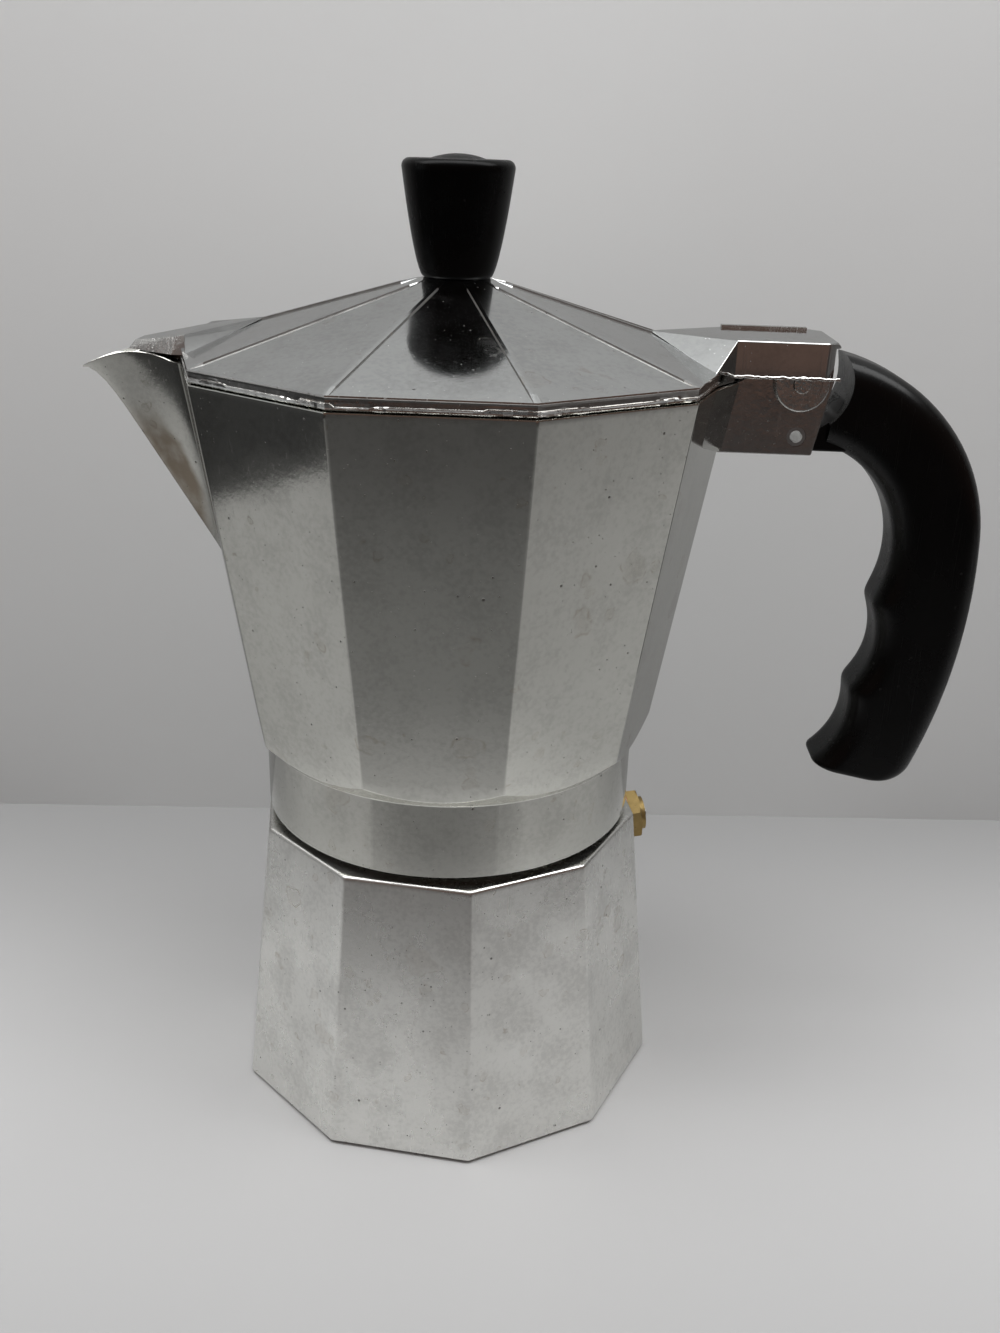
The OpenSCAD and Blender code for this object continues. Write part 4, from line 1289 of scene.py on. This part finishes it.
@dataclass
class Lid:
    """The hinged pyramid lid with its ridges, hinge block, spout cover and locating rim."""

    seat_z: float = 171.6
    band: float = 2.7
    rise: float = 17.2
    ridge: float = 0.85
    ridge_h: float = 0.34
    ridge_run: Profile = ((-1.0, 0), (-0.87, 1), (0, 1), (0.87, 1), (1.0, 0))
    ridge_points: int = 40
    roof_radii: tuple[float, ...] = (8.2, 12.0, 20.0, 30.0, 40.0, 50.0, 57.0, 59.72)
    # (radius, height over the seat) down the band, where the two halves of the mould met.
    band_run: Profile = ((59.8, 2.5), (59.7, 2.35), (59.66, 2.0), (59.66, 1.6), (59.66, 1.16),
                         (59.86, 1.06), (59.92, 0.9), (59.8, 0.65), (59.85, 0.4), (59.6, 0.15),
                         (59.2, 0.0))
    screw_hole: float = 2.05
    knob_seat_t: float = 3.0
    locating_r: float = 56.07
    locating_t: float = 1.6
    block_top: float = 180.1
    block_low: float = 172.6
    block_half_w: float = 11.0
    block_back: float = 79.7
    block_x: float = 57.7
    ear_y: float = 9.3
    ear_r: float = 5.6
    ear_rim: float = 1.5
    ear_hole: float = 1.85

    @property
    def top(self) -> float:
        """Height of the band's upper edge."""
        return self.seat_z + self.band

    def ring(self, radius: float, z: float, lift: float = 0.0) -> Ring:
        """Ring of the lid.

        Args:
            radius: across the corners.
            z: height of its sides.
            lift: how far the ridge strips stand above the sides.

        Returns:
            The ring, with five points across each ridge.
        """
        corners = []
        for k in range(SIDES):
            ux, uy = toward(TURN * k)
            run = []
            for off, up in self.ridge_run:
                away = off * self.ridge * (1.0 if radius > 12 else radius / 12)
                lean = 18 if off > 0 else -18 if off < 0 else 0
                vx, vy = toward(TURN * k + 90 + lean)
                run.append((radius * ux + away * vx, radius * uy + away * vy, z + lift * up))
            corners.append(run)
        return join_corners(corners, self.ridge_points)

    def trim_band(self, shell: Mesh) -> Mesh:
        """Leaves the band as a trimmed casting has it: smooth above, with torn flash below.

        Args:
            shell: the lid's shell.

        Returns:
            The same mesh.
        """
        for vert in shell.verts:
            x, y, z = vert.co
            reach, height = math.hypot(x, y), z - self.seat_z
            if reach < 57.5 or height > self.band - 0.05:
                continue
            along = math.atan2(y, x) * RIM_R
            torn, length = (0.24, 0.9) if height < 1.3 else (0.06, 5.0)
            push = -torn * abs(noise.noise(Vector((along / length, height / 0.4, 3.0))))
            step = 0.35 * noise.cell(Vector((along / 7.0, 0.5, 0.5)))
            vert.co.z += (step if 0.8 < height < 1.25 else 0.0) + 0.4 * abs(push) * (height < 1.3)
            vert.co.x += push * x / reach
            vert.co.y += push * y / reach
        return shell

    def shell(self) -> Mesh:
        """The pyramid and its edge band, closed inside.

        Returns:
            The mesh.
        """
        top, slope = self.top, self.rise / RIM_R
        start = self.ring(9.0, 0)
        under = KNOB_Z - self.knob_seat_t
        rings = [onto_circle(start, r, z) for r, z in (
            (self.screw_hole, KNOB_Z), (6.9, KNOB_Z), (7.2, KNOB_Z - 0.1))]
        for radius in self.roof_radii:
            lift = 0.0 if radius in (self.roof_radii[0], self.roof_radii[-1]) else self.ridge_h
            rings.append(self.ring(radius, top + (RIM_R - radius) * slope, lift))
        rings += [self.ring(radius, self.seat_z + z) for radius, z in self.band_run]
        rings += [self.ring(57.6, self.seat_z), self.ring(57.4, self.seat_z + 0.2),
                  self.ring(57.3, top - 0.8), self.ring(56.6, top - 0.6),
                  self.ring(53.1, top - 0.6)]
        for radius in (50.0, 30.0, 10.0):
            rings.append(self.ring(radius, top - 1.8 + (57.4 - radius) / 55.4 * 15.4))
        rings += [onto_circle(start, 7.2, under), onto_circle(start, self.screw_hole, under)]
        # The spout's lip reaches up into the band.
        return carve(self.trim_band(loft(rings, closed=True)),
                     block((-61, -10.1, 170.6), (-53, 10.1, 173.1)))

    def locating_rim(self) -> Mesh:
        """The rim that centres the lid, left out at the spout.

        Returns:
            The mesh.
        """
        outer, inner = self.locating_r, self.locating_r - self.locating_t
        low, high = self.seat_z - 2.0, self.seat_z + 2.3
        rings = [ten_ring(outer, high), ten_ring(outer, low + 0.4), ten_ring(outer - 0.4, low),
                 ten_ring(inner + 0.4, low), ten_ring(inner, low + 0.4), ten_ring(inner, high)]
        return carve(loft(rings, closed=True), block((-120, -14.5, 100), (-24, 14.5, 300)))

    def ramp(self, side: int, end: float, top_end: float) -> Mesh:
        """Ramp from a ridge out to the hinge block or the spout's cover.

        Args:
            side: 1 towards the handle, -1 towards the spout.
            end: where the ramp's top ends.
            top_end: the top's height there.

        Returns:
            The ramp.
        """
        half, low = self.block_half_w, self.seat_z + 0.1
        points = [(40.8, 0.0, self.block_top), (40.8, 0.0, self.block_top - 1.8)]
        for y in (-1, 1):
            points += [(end, y * half, top_end), (end, y * half, low),
                       (53.2, y * 19.0, self.top - 0.05), (53.2, y * 19.0, low)]
        return soften(wrapped([(side * x, y, z) for x, y, z in points]), 0.35, 2)

    def ear(self, side: int) -> Mesh:
        """One ear: a half disc below the block, with a raised rim round the pin's hole.

        Args:
            side: -1 or 1, along Y.

        Returns:
            The mesh.
        """
        x, z = HINGE
        start = math.degrees(math.asin((self.block_low + 0.3 - z) / self.ear_r))
        turns = [180 - start + (180 + 2 * start) * i / 44 for i in range(45)]

        def arc(radius: float) -> list[Place]:
            """Returns the ear's outline at a radius."""
            return [(x + radius * c, z + radius * s) for c, s in map(toward, turns)]
        plate = prism(arc(self.ear_r), side * (self.ear_y + 0.04),
                      side * (self.block_half_w + 0.05))
        dish = prism(arc(self.ear_r - self.ear_rim), side * (self.block_half_w - 0.4),
                     side * THROUGH)
        hole = prism(disc(HINGE, self.ear_hole), side * 0.0, side * THROUGH)
        return carve(soften(plate, 0.6, 4), dish, hole)

    def pin(self) -> bpy.types.Object:
        """Builds the hinge pin, with hammered ends.

        Returns:
            The object.
        """
        low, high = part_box("hinge_pin")
        reach, radius = high[1] / MM, (high[2] - low[2]) / MM / 2
        half = [(0.0, reach)] + [(radius * i / 7, reach) for i in range(1, 7)]
        half += [(radius - 0.1, reach), (radius, reach - 0.1), (radius, reach - 0.6)]
        made = lathe(half + [(r, -z) for r, z in reversed(half)], 48)
        for vert in made.verts:
            if abs(vert.co.z) > reach - 0.3:
                dent = 0.14 * abs(noise.noise(vert.co * 1.9))
                dent += 0.05 * abs(noise.noise(vert.co * 6.0))
                vert.co.z -= math.copysign(dent, vert.co.z)
        middle = Vector((HINGE[0], 0.0, HINGE[1]))
        turn = Matrix.Translation(middle) @ Matrix.Rotation(math.radians(90), 4, "X")
        bmesh.ops.transform(made, matrix=turn, verts=made.verts)
        return as_object("hinge_pin_hammered", [made], sharp=20)

    def hinge_block(self) -> list[Mesh]:
        """The block over the bracket, its flash lines and its two ears.

        Returns:
            The meshes.
        """
        half, back, front, top = self.block_half_w, self.block_back, self.block_x, self.block_top
        plan = [(front, -half), (back - 3, -half), (back, -half + 3), (back, half - 3),
                (back - 3, half), (front, half)]
        body = soften(prism(plan, self.block_low, top, upright), 0.45)
        hollow = block((58.0, -self.ear_y, 171.0), (90.0, self.ear_y, 178.8))
        bevel = [(back + 0.1, 178.9), (back + 0.1, 182.0), (back - 1.4, 180.4)]
        parts = [carve(body, hollow, prism(bevel, -20, 20))]
        for side in (-1, 1):
            parts.append(self.ear(side))
            # Flash left along the block's lower edge.
            steps = [57.4 + 0.6 * i for i in range(38)]
            dice = random.Random(11 + side)
            low = [(x, self.block_low + dice.uniform(-0.1, 0.1)) for x in steps]
            high = [(x, self.block_low + 0.6 + dice.uniform(-0.14, 0.14))
                    for x in reversed(steps)]
            line = prism(low + high, side * (half - 0.6), side * (half + 0.4))
            parts.append(soften(line, 0.12, 1))
        # Raised strip along the roof's far edge.
        dice = random.Random(5)
        steps = [57.0 + 0.8 * i for i in range(24)]
        strip = [(x, 8.6 + dice.uniform(-0.2, 0.2)) for x in steps]
        strip += [(x, 10.5 + dice.uniform(-0.15, 0.05)) for x in reversed(steps)]
        return parts + [prism(strip, top - 0.3, top + 0.55, upright)]

    def spout_cover(self) -> Mesh:
        """The flat cover over the spout, with drafted sides.

        Returns:
            The mesh.
        """
        points = []
        low = 173.1
        for x, y, height in ((-55.0, 10.0, 4.1), (-58.0, 10.0, 3.5), (-68.5, 3.52, 1.7)):
            for c, s in (toward(i * 30) for i in range(12)):
                for side in (-1, 1):
                    points += [(x + c, side * y + s, low),
                               (x + 0.5 + 0.1 * c, side * (y - 0.5) + 0.1 * s, low + height)]
        return soften(wrapped(points), 0.3, 2, 40.0)

    def build(self) -> bpy.types.Object:
        """Builds the whole lid.

        Returns:
            The object.
        """
        parts = [self.shell(), self.locating_rim(), self.ramp(1, 58.2, 180.1),
                 self.ramp(-1, 55.4, 177.3), self.spout_cover()]
        return as_object("lid_casting", parts + self.hinge_block(), first_sharp=6.0)

    def dress(self, shop: Workshop, piece: bpy.types.Object) -> None:
        """Dresses the lid and its pin.

        Args:
            shop: the finishes.
            piece: the lid's object.
        """
        def part(co: Vector) -> int:
            """Finds the finish of a face.

            Args:
                co: the face's middle.

            Returns:
                0 on the worn polish, 1 on flash, 2 on raw skin and 3 on the ridges' walls, which
                carry painted shade.
            """
            reach = co.xy.length
            if co.x < 58 and 171.65 < co.z < 174.28 and reach > 56.7 and co.x > -60.2:
                return 1 if co.z < self.seat_z + 1.25 else 2
            if abs(co.y) > self.block_half_w + 0.01 and co.z < 173.5 and co.x > 53.4:
                return 1
            turn = math.radians((math.degrees(math.atan2(co.y, co.x)) + 18) % TURN - 18)
            away = abs(reach * math.sin(turn)) / self.ridge
            # The ridges' walls take the painted shade.
            if 12 < reach and co.z > self.top and 0.86 < away < 1.02:
                return 3
            if co.x > 61 and co.z < self.block_low and abs(co.y) > self.ear_y:
                return 1
            if co.x < -55.6 and 173.1 < co.z < 174.6 + (co.x + 69.5) * 0.17:
                return 1
            return int(co.z > self.block_top + 0.02 and co.x > 56)
        shop.coat(piece, Finish.LID, Finish.FLASH, Finish.RAW, Finish.RIDGE_WALL_SHADE, choose=part)
        shop.fit(piece, "lid", "lid_aluminium", "lid")
        pin = self.pin()
        shop.coat(pin, Finish.FLASH)
        shop.fit(pin, "collector", "pin_steel", "hinge_pin")


@dataclass
class Handle:
    """The curved handle, its finger grooves and the tongue between the bracket's cheeks."""

    width: float = 17.0
    rounding: float = 5.0
    bend_centre: Place = (72.97, 135.08)
    bend_r: tuple[float, float] = (24.0, 43.0)
    bend_start: float = 93.0
    bend_steps: int = 27
    grip_centre: Place = (-13.7, 127.5)
    grip_r: tuple[float, float] = (108.0, 130.0)
    grip_steps: int = 64
    tangent: float = 5.0
    # Hollows of the inner contour: distance and angle about the grip's centre, and radius.
    hollows: tuple[Point, ...] = ((93.0, -8.2, 18.2), (93.0, -18.7, 18.2), (85.2, 4.996, 26.0))
    crest: float = 0.55
    shrink: float = 0.2
    end_slope: float = 11.0
    end_levels: tuple[float, ...] = (4.4, 3.7, 3.0, 2.3, 1.7, 1.2, 0.8, 0.45, 0.2, 0.05, 0.0)
    heel_r: float = 5.0
    toe_r: float = 1.6
    side_r: float = 1.0
    sweep: float = 22.0
    front: float = 79.3
    swing_r: float = 11.08
    lid_room: float = 0.12

    def inner_r(self, angle: float) -> float:
        """Inner contour, with its grooves.

        Args:
            angle: in degrees about the grip's centre.

        Returns:
            The distance from that centre.
        """
        reaches = [self.grip_r[0]]
        for away, turn, radius in self.hollows:
            off = math.radians(angle - turn)
            inside = radius ** 2 - (away * math.sin(off)) ** 2
            if inside > 0:
                reaches.append(away * math.cos(off) + math.sqrt(inside))
        # A soft maximum, which rounds the crests between the grooves.
        peak = max(reaches)
        total = sum(math.exp((r - peak) / self.crest) for r in reaches)
        return peak + self.crest * math.log(total) - self.shrink

    def outer_r(self, _angle: float) -> float:
        """Returns the outer contour's distance from the grip's centre, the same all along."""
        return self.grip_r[1]

    def on_grip(self, contour: Callable[[float], float], angle: float) -> Place:
        """Returns a contour's point at an angle about the grip's centre."""
        c, s = toward(angle)
        return self.grip_centre[0] + contour(angle) * c, self.grip_centre[1] + contour(angle) * s

    def height_over_end(self, point: Place) -> float:
        """How far a point lies above the handle's flat end.

        Args:
            point: the point.

        Returns:
            The height.
        """
        x, z = self.on_grip(self.outer_r, -self.sweep)
        c, s = toward(-self.end_slope)
        return (point[1] - z) * c - (point[0] - x) * s

    def angle_over_end(self, contour: Callable[[float], float], height: float) -> float:
        """Angle where a contour is at a height over the flat end.

        Args:
            contour: distance from the grip's centre by angle.
            height: the height to find.

        Returns:
            The angle, in degrees.
        """
        low, high = -32.0, 0.0
        for _ in range(40):
            middle = (low + high) / 2
            if self.height_over_end(self.on_grip(contour, middle)) > height:
                high = middle
            else:
                low = middle
        return (low + high) / 2

    def section(self, inner: Place, outer: Place, pull: float = 0.0) -> Ring:
        """Rounded rectangle between two points of the mid-plane.

        Args:
            inner: its middle on the inside of the handle.
            outer: its middle on the outside.
            pull: how far its sides are drawn in.

        Returns:
            The ring.
        """
        depth = math.dist(inner, outer)
        ex, ez = (outer[0] - inner[0]) / depth, (outer[1] - inner[1]) / depth
        half = self.width / 2 - pull
        r = self.rounding
        corners = []
        for u, v, start in ((depth - r, half - r, 0), (r, half - r, 90), (r, r - half, 180),
                            (depth - r, r - half, 270)):
            run = []
            for i in range(8):
                c, s = toward(start + 90 * i / 7)
                run.append((inner[0] + ex * (u + r * c), v + r * s, inner[1] + ez * (u + r * c)))
            corners.append(run)
        return join_corners(corners, 3)

    def sections(self) -> list[Ring]:
        """The sections from the bracket round the bend and down to the flat end.

        Returns:
            The rings.
        """
        rings = []
        bx, bz = self.bend_centre
        for i in range(self.bend_steps):
            turn = self.bend_start - (self.bend_start - self.tangent) * i / self.bend_steps
            c, s = toward(turn)
            # A hair lower on top, where the open lid comes to rest.
            outer_r = self.bend_r[1] - self.lid_room * ease(turn, 30.0, 70.0)
            rings.append(self.section((bx + self.bend_r[0] * c, bz + self.bend_r[0] * s),
                                      (bx + outer_r * c, bz + outer_r * s)))
        contours = (self.inner_r, self.outer_r)
        ends = [self.angle_over_end(contour, 5.0) for contour in contours]
        for i in range(self.grip_steps + 1):
            t = i / self.grip_steps
            rings.append(self.section(*[
                self.on_grip(contour, self.tangent + (end - self.tangent) * t)
                for contour, end in zip(contours, ends)]))
        for height in self.end_levels:
            inner, outer = [self.on_grip(contour, self.angle_over_end(contour, height))
                            for contour in contours]
            heel, toe = rounded(self.heel_r, height), rounded(self.toe_r, height)
            depth = math.dist(inner, outer)
            ex, ez = (outer[0] - inner[0]) / depth, (outer[1] - inner[1]) / depth
            rings.append(self.section((inner[0] + ex * toe, inner[1] + ez * toe),
                                      (outer[0] - ex * heel, outer[1] - ez * heel),
                                      rounded(self.side_r, height)))
        return rings

    def relief(self) -> Mesh:
        """The room that the hinge block needs when the lid swings back.

        Returns:
            The cutter.
        """
        x, z = HINGE
        start = math.degrees(math.acos(4.1 / self.swing_r))
        turns = [-start + 2 * start * i / 40 for i in range(41)]
        outline = [(x + self.swing_r * c, z + self.swing_r * s) for c, s in map(toward, turns)]
        return prism(outline, -THROUGH, THROUGH)

    def build(self) -> bpy.types.Object:
        """Builds the handle.

        Returns:
            The object.
        """
        # What lies in front of the cheeks' back edges is left to the tongue.
        front = block((20.0, -THROUGH, 145.0), (self.front, THROUGH, 260.0))
        body = carve(loft(self.sections(), cap_start=True, cap_end=True), front, self.relief())
        tongue = soften(block((62.4, -6.3, 157.0), (84.0, 6.3, 167.8)), 0.6)
        pin = prism(disc(ROLL_PIN, ROLL_PIN_R), -THROUGH, THROUGH)
        return as_object("handle_moulding", [body, carve(tongue, self.relief(), pin)])

    def dress(self, shop: Workshop, piece: bpy.types.Object) -> None:
        """Dresses the handle in black bakelite."""
        shop.coat(piece, Finish.HANDLE)
        shop.fit(piece, "collector", "handle_bakelite", "handle")


@dataclass
class Knob:
    """The turned knob with a low dome on its top."""

    height: float = 24.0
    radius: float = 11.6
    foot_r: float = 7.0
    edge: float = 1.6
    dome_rise: float = 1.0
    dome_share: float = 0.49
    flare: float = 0.62
    socket_r: float = 4.05
    socket_h: float = 9.3

    def build(self) -> bpy.types.Object:
        """Builds the knob.

        Returns:
            The object.
        """
        top = self.height - self.dome_rise
        flat, flank = self.radius - self.edge, top - self.edge
        profile = [(0.0, self.height)]
        dome = self.radius * self.dome_share
        for i in range(1, 9):
            r = dome * i / 8
            profile.append((r, self.height - dome * 3 + math.sqrt((dome * 3) ** 2 - r ** 2)))
        profile += [(dome + 0.5, top + 0.01), (flat - 1, top)]
        for i in range(7):
            c, s = toward(90 - 15 * i)
            profile.append((flat + self.edge * c, flank + self.edge * s))
        for i in range(23, 0, -1):
            t = i / 24
            profile.append((self.foot_r + (self.radius - self.foot_r) * t ** self.flare,
                            flank * t))
        profile += [(self.foot_r + 0.35, 0.35), (self.foot_r - 0.1, 0.0),
                    (self.socket_r + 0.25, 0.0), (self.socket_r, 0.25),
                    (self.socket_r, self.socket_h), (0.0, self.socket_h)]
        body = lathe([(r, z + KNOB_Z) for r, z in profile], 96)
        return as_object("knob_moulding", [body], sharp=40, weighted=False)

    def dress(self, shop: Workshop, piece: bpy.types.Object) -> None:
        """Dresses the knob in black bakelite."""
        shop.coat(piece, Finish.KNOB)
        shop.fit(piece, "lid", "knob_bakelite", "knob")


KEPT_NODES: dict[str, Finish] = {
    "handle_pin": Finish.ROLL_PIN, "knob_screw": Finish.STEEL,
    "valve_plug": Finish.STEEL, "valve_spring": Finish.SPRING, "knob_insert": Finish.BRASS,
    "valve_nut": Finish.BRASS, "valve_cap": Finish.BRASS, "valve_washer": Finish.COPPER,
    "gasket": Finish.RUBBER, "filter_plate": Finish.SHEET, "funnel_cup": Finish.SHEET,
    "funnel_stem": Finish.SHEET, "funnel_strainer": Finish.SHEET}


@dataclass
class Studio:
    """Table, wall, lamps and camera; the table and wall carry painted shade, and more of it that
    only the pot's metal mirrors.
    """

    wall_y: float = 113.4
    wall_slope: float = 0.0605
    far: float = 1500.0
    near: float = -900.0
    floor_z: float = -0.02
    table_colour: Colour = (0.60, 0.60, 0.60, 1)
    wall_colour: Colour = (0.83, 0.845, 0.845, 1)
    table_left: float = -0.360
    table_dim: float = 0.56
    wall_dim: float = 0.80
    wall_dark: float = 0.36
    reflected_shade_colour: Colour = (0.006, 0.0065, 0.007, 1)
    wall_shadow: Colour = (0.02, 0.02, 0.02, 1)
    pale_room: Colour = (0.46, 0.47, 0.48, 1)
    brown_room: Colour = (0.115, 0.074, 0.060, 1)
    low_room: Colour = (0.018, 0.018, 0.020, 1)
    plain_room: Colour = (0.60, 0.61, 0.61, 1)
    lens: float = 33.947
    sensor: float = 36.0
    camera_at: Point = (20.055, -273.42, 214.515)
    camera_right: Point = (0.99865293, 0.04299527, 0.02904696)
    camera_ahead: Point = (-0.02872432, 0.92429921, -0.38058623)

    def mirrored_shade(self, graph: Graph, where: Socket, table: bool) -> Socket:
        """Mask of painted shade that only the pot's reflections see: on the table, darker past its
        left end, to either side, and in front of the pot as a painted shadow from the camera's
        side; on the wall, the same all over.

        Args:
            graph: the material's graph.
            where: the point on the surface.
            table: the table, which ends not far from the pot, or else the wall.

        Returns:
            The mask.
        """
        dark = self.wall_dark
        if table:
            x, y, _ = graph.split(where)
            left = graph.remap(x, self.table_left + 0.004, self.table_left - 0.006)
            near = graph.remap(y, -0.100, -0.190, 0.0, 0.58)
            far = graph.remap(y, -0.190, -0.360, 0.58, 0.83)
            aside = graph.remap(graph.math("ABSOLUTE", x), 0.10, 0.17, 0.0, 0.36)
            far = graph.product(far, graph.math("LESS_THAN", y, -0.190))
            dark = graph.most(left, near, aside, far)
        # Camera rays see none of this painted shade.
        seen = graph.add("LightPath").outputs["Is Camera Ray"]
        return graph.product(dark, graph.math("SUBTRACT", 1.0, seen))

    def surface(self, name: str, table: bool) -> bpy.types.Material:
        """Pale painted surface, seen only from its front, with painted shade in its colour.

        Args:
            name: the material's name.
            table: the table, or else the wall.

        Returns:
            The material.
        """
        colour = self.table_colour if table else self.wall_colour
        made = bpy.data.materials.new(name)
        made.use_nodes = True
        graph = Graph(made.node_tree)
        where = graph.add("TexCoord").outputs["Object"]
        cloud = graph.remap(graph.noise(where, 3.0, 4.0), 0.3, 0.7)
        tint = graph.mix(cloud, colour, dimmed(colour, 0.95))
        x, y, z = graph.split(where)
        if table:
            # Painted shade: the table darkens towards its corner with the wall and towards the
            # front.
            line = graph.math("MULTIPLY_ADD", x, self.wall_slope, self.wall_y * MM)
            gap = graph.math("ABSOLUTE", graph.math("SUBTRACT", line, y))
            shade = graph.most(graph.remap(gap, 0.13, -0.01),
                               graph.remap(y, -0.02, -0.17, 0.0, 0.85))
        else:
            # Painted shade: the wall darkens towards the table, and from 0.27 m up it darkens
            # again.
            shade = graph.remap(z, 0.26, -0.03)
            tint = graph.mix(graph.remap(z, 0.27, 0.60, 0.0, 0.6), tint, self.wall_shadow)
        dim = dimmed(colour, self.table_dim if table else self.wall_dim)
        tint = graph.mix(shade, tint, dim)
        # Painted shade that only reflections see.
        tint = graph.mix(self.mirrored_shade(graph, where, table), tint, self.reflected_shade_colour)
        shader = graph.add("BsdfPrincipled", Base_Color=tint, Roughness=0.45)
        clear = graph.add("BsdfTransparent")
        back = graph.add("NewGeometry").outputs["Backfacing"]
        both = graph.add("MixShader", in_0=back, in_1=shader.outputs[0], in_2=clear.outputs[0])
        graph.add("OutputMaterial", Surface=both.outputs[0])
        return made

    def plane(self, name: str, corners: Sequence[Point], material: bpy.types.Material) -> None:
        """Adds a staged surface of four corners.

        Args:
            name: its name.
            corners: its corners, in millimetres.
            material: its material.
        """
        mesh = bpy.data.meshes.new(name)
        mesh.from_pydata([Vector(c) * MM for c in corners], [], [range(len(corners))])
        mesh.materials.append(material)
        obj = bpy.data.objects.new(name, mesh)
        bpy.context.scene.collection.objects.link(obj)

    def build(self) -> None:
        """Adds the table and the wall."""
        far, near, low = self.far, self.near, self.floor_z
        left, right = self.wall_y - self.wall_slope * far, self.wall_y + self.wall_slope * far
        self.plane("table", [(-far, near, low), (far, near, low), (far, far, low),
                             (-far, far, low)], self.surface("table_paint", True))
        self.plane("wall", [(-far, left, low), (far, right, low), (far, right, far),
                            (-far, left, far)], self.surface("wall_paint", False))

    def lamp(self, name: str, place: Point, aim: Point, size: tuple[float, float],
             power: float) -> None:
        """Adds a soft area lamp.

        Args:
            name: its name.
            place: where it hangs, in millimetres.
            aim: what it points at, in millimetres.
            size: its width and height in metres.
            power: in watts.
        """
        data = bpy.data.lights.new(name, "AREA")
        data.shape, data.size, data.size_y, data.energy = "RECTANGLE", size[0], size[1], power
        obj = bpy.data.objects.new(name, data)
        obj.location = Vector(place) * MM
        obj.rotation_euler = (Vector(aim) - Vector(place)).to_track_quat("-Z", "Y").to_euler()
        bpy.context.scene.collection.objects.link(obj)

    def light(self) -> None:
        """Adds the lamps and the dim room around them."""
        self.lamp("shelf_lamp", (0, -60, 640), (0, -20, 0), (1.3, 0.30), 5.2)
        self.lamp("ceiling_lamp", (250, 50, 1300), (0, 0, 100), (1.2, 0.8), 2.2)
        world = bpy.data.worlds.new("room")
        bpy.context.scene.world = world
        world.use_nodes = True
        graph = Graph(world.node_tree)
        x, y, z = graph.split(graph.add("TexCoord").outputs["Generated"])
        # Pale above, behind and far to the left of the pot, dark towards the front.
        pale = graph.most(graph.remap(z, 0.35, 0.9), graph.remap(y, 0.0, 0.6),
                          graph.remap(x, -0.85, -0.95))
        front = graph.mix(graph.remap(z, -0.160, -0.180), self.brown_room, self.low_room)
        tone = graph.mix(pale, front, self.pale_room)
        seen = graph.add("LightPath").outputs["Is Camera Ray"]
        room = graph.add("Background", Color=graph.mix(seen, tone, self.plain_room), Strength=1.0)
        graph.add("OutputWorld", Surface=room.outputs[0])

    def camera(self) -> None:
        """Sets the camera."""
        right, ahead = Vector(self.camera_right), Vector(self.camera_ahead)
        data = bpy.data.cameras.new("camera")
        data.lens, data.sensor_width, data.clip_start = self.lens, self.sensor, 0.01
        obj = bpy.data.objects.new("camera", data)
        turn = Matrix((right, right.cross(ahead), -ahead)).transposed().to_4x4()
        obj.matrix_world = Matrix.Translation(Vector(self.camera_at) * MM) @ turn
        bpy.context.scene.collection.objects.link(obj)
        bpy.context.scene.camera = obj


def main() -> None:
    """Builds the studio, the finishes and every piece."""
    logging.basicConfig(level=logging.INFO, format="%(name)s: %(message)s")
    view = bpy.context.scene.view_settings
    view.view_transform = "Standard"
    studio = Studio()
    studio.camera()
    studio.build()
    studio.light()
    shop = Workshop()
    shop.prepare()
    valve = Valve()
    for part in (Boiler(valve), Collector(), Lid(), Handle(), Knob(), valve):
        part.dress(shop, part.build())
    for node, finish in KEPT_NODES.items():
        shop.repaint(node, finish)


if __name__ == "__main__":
    main()
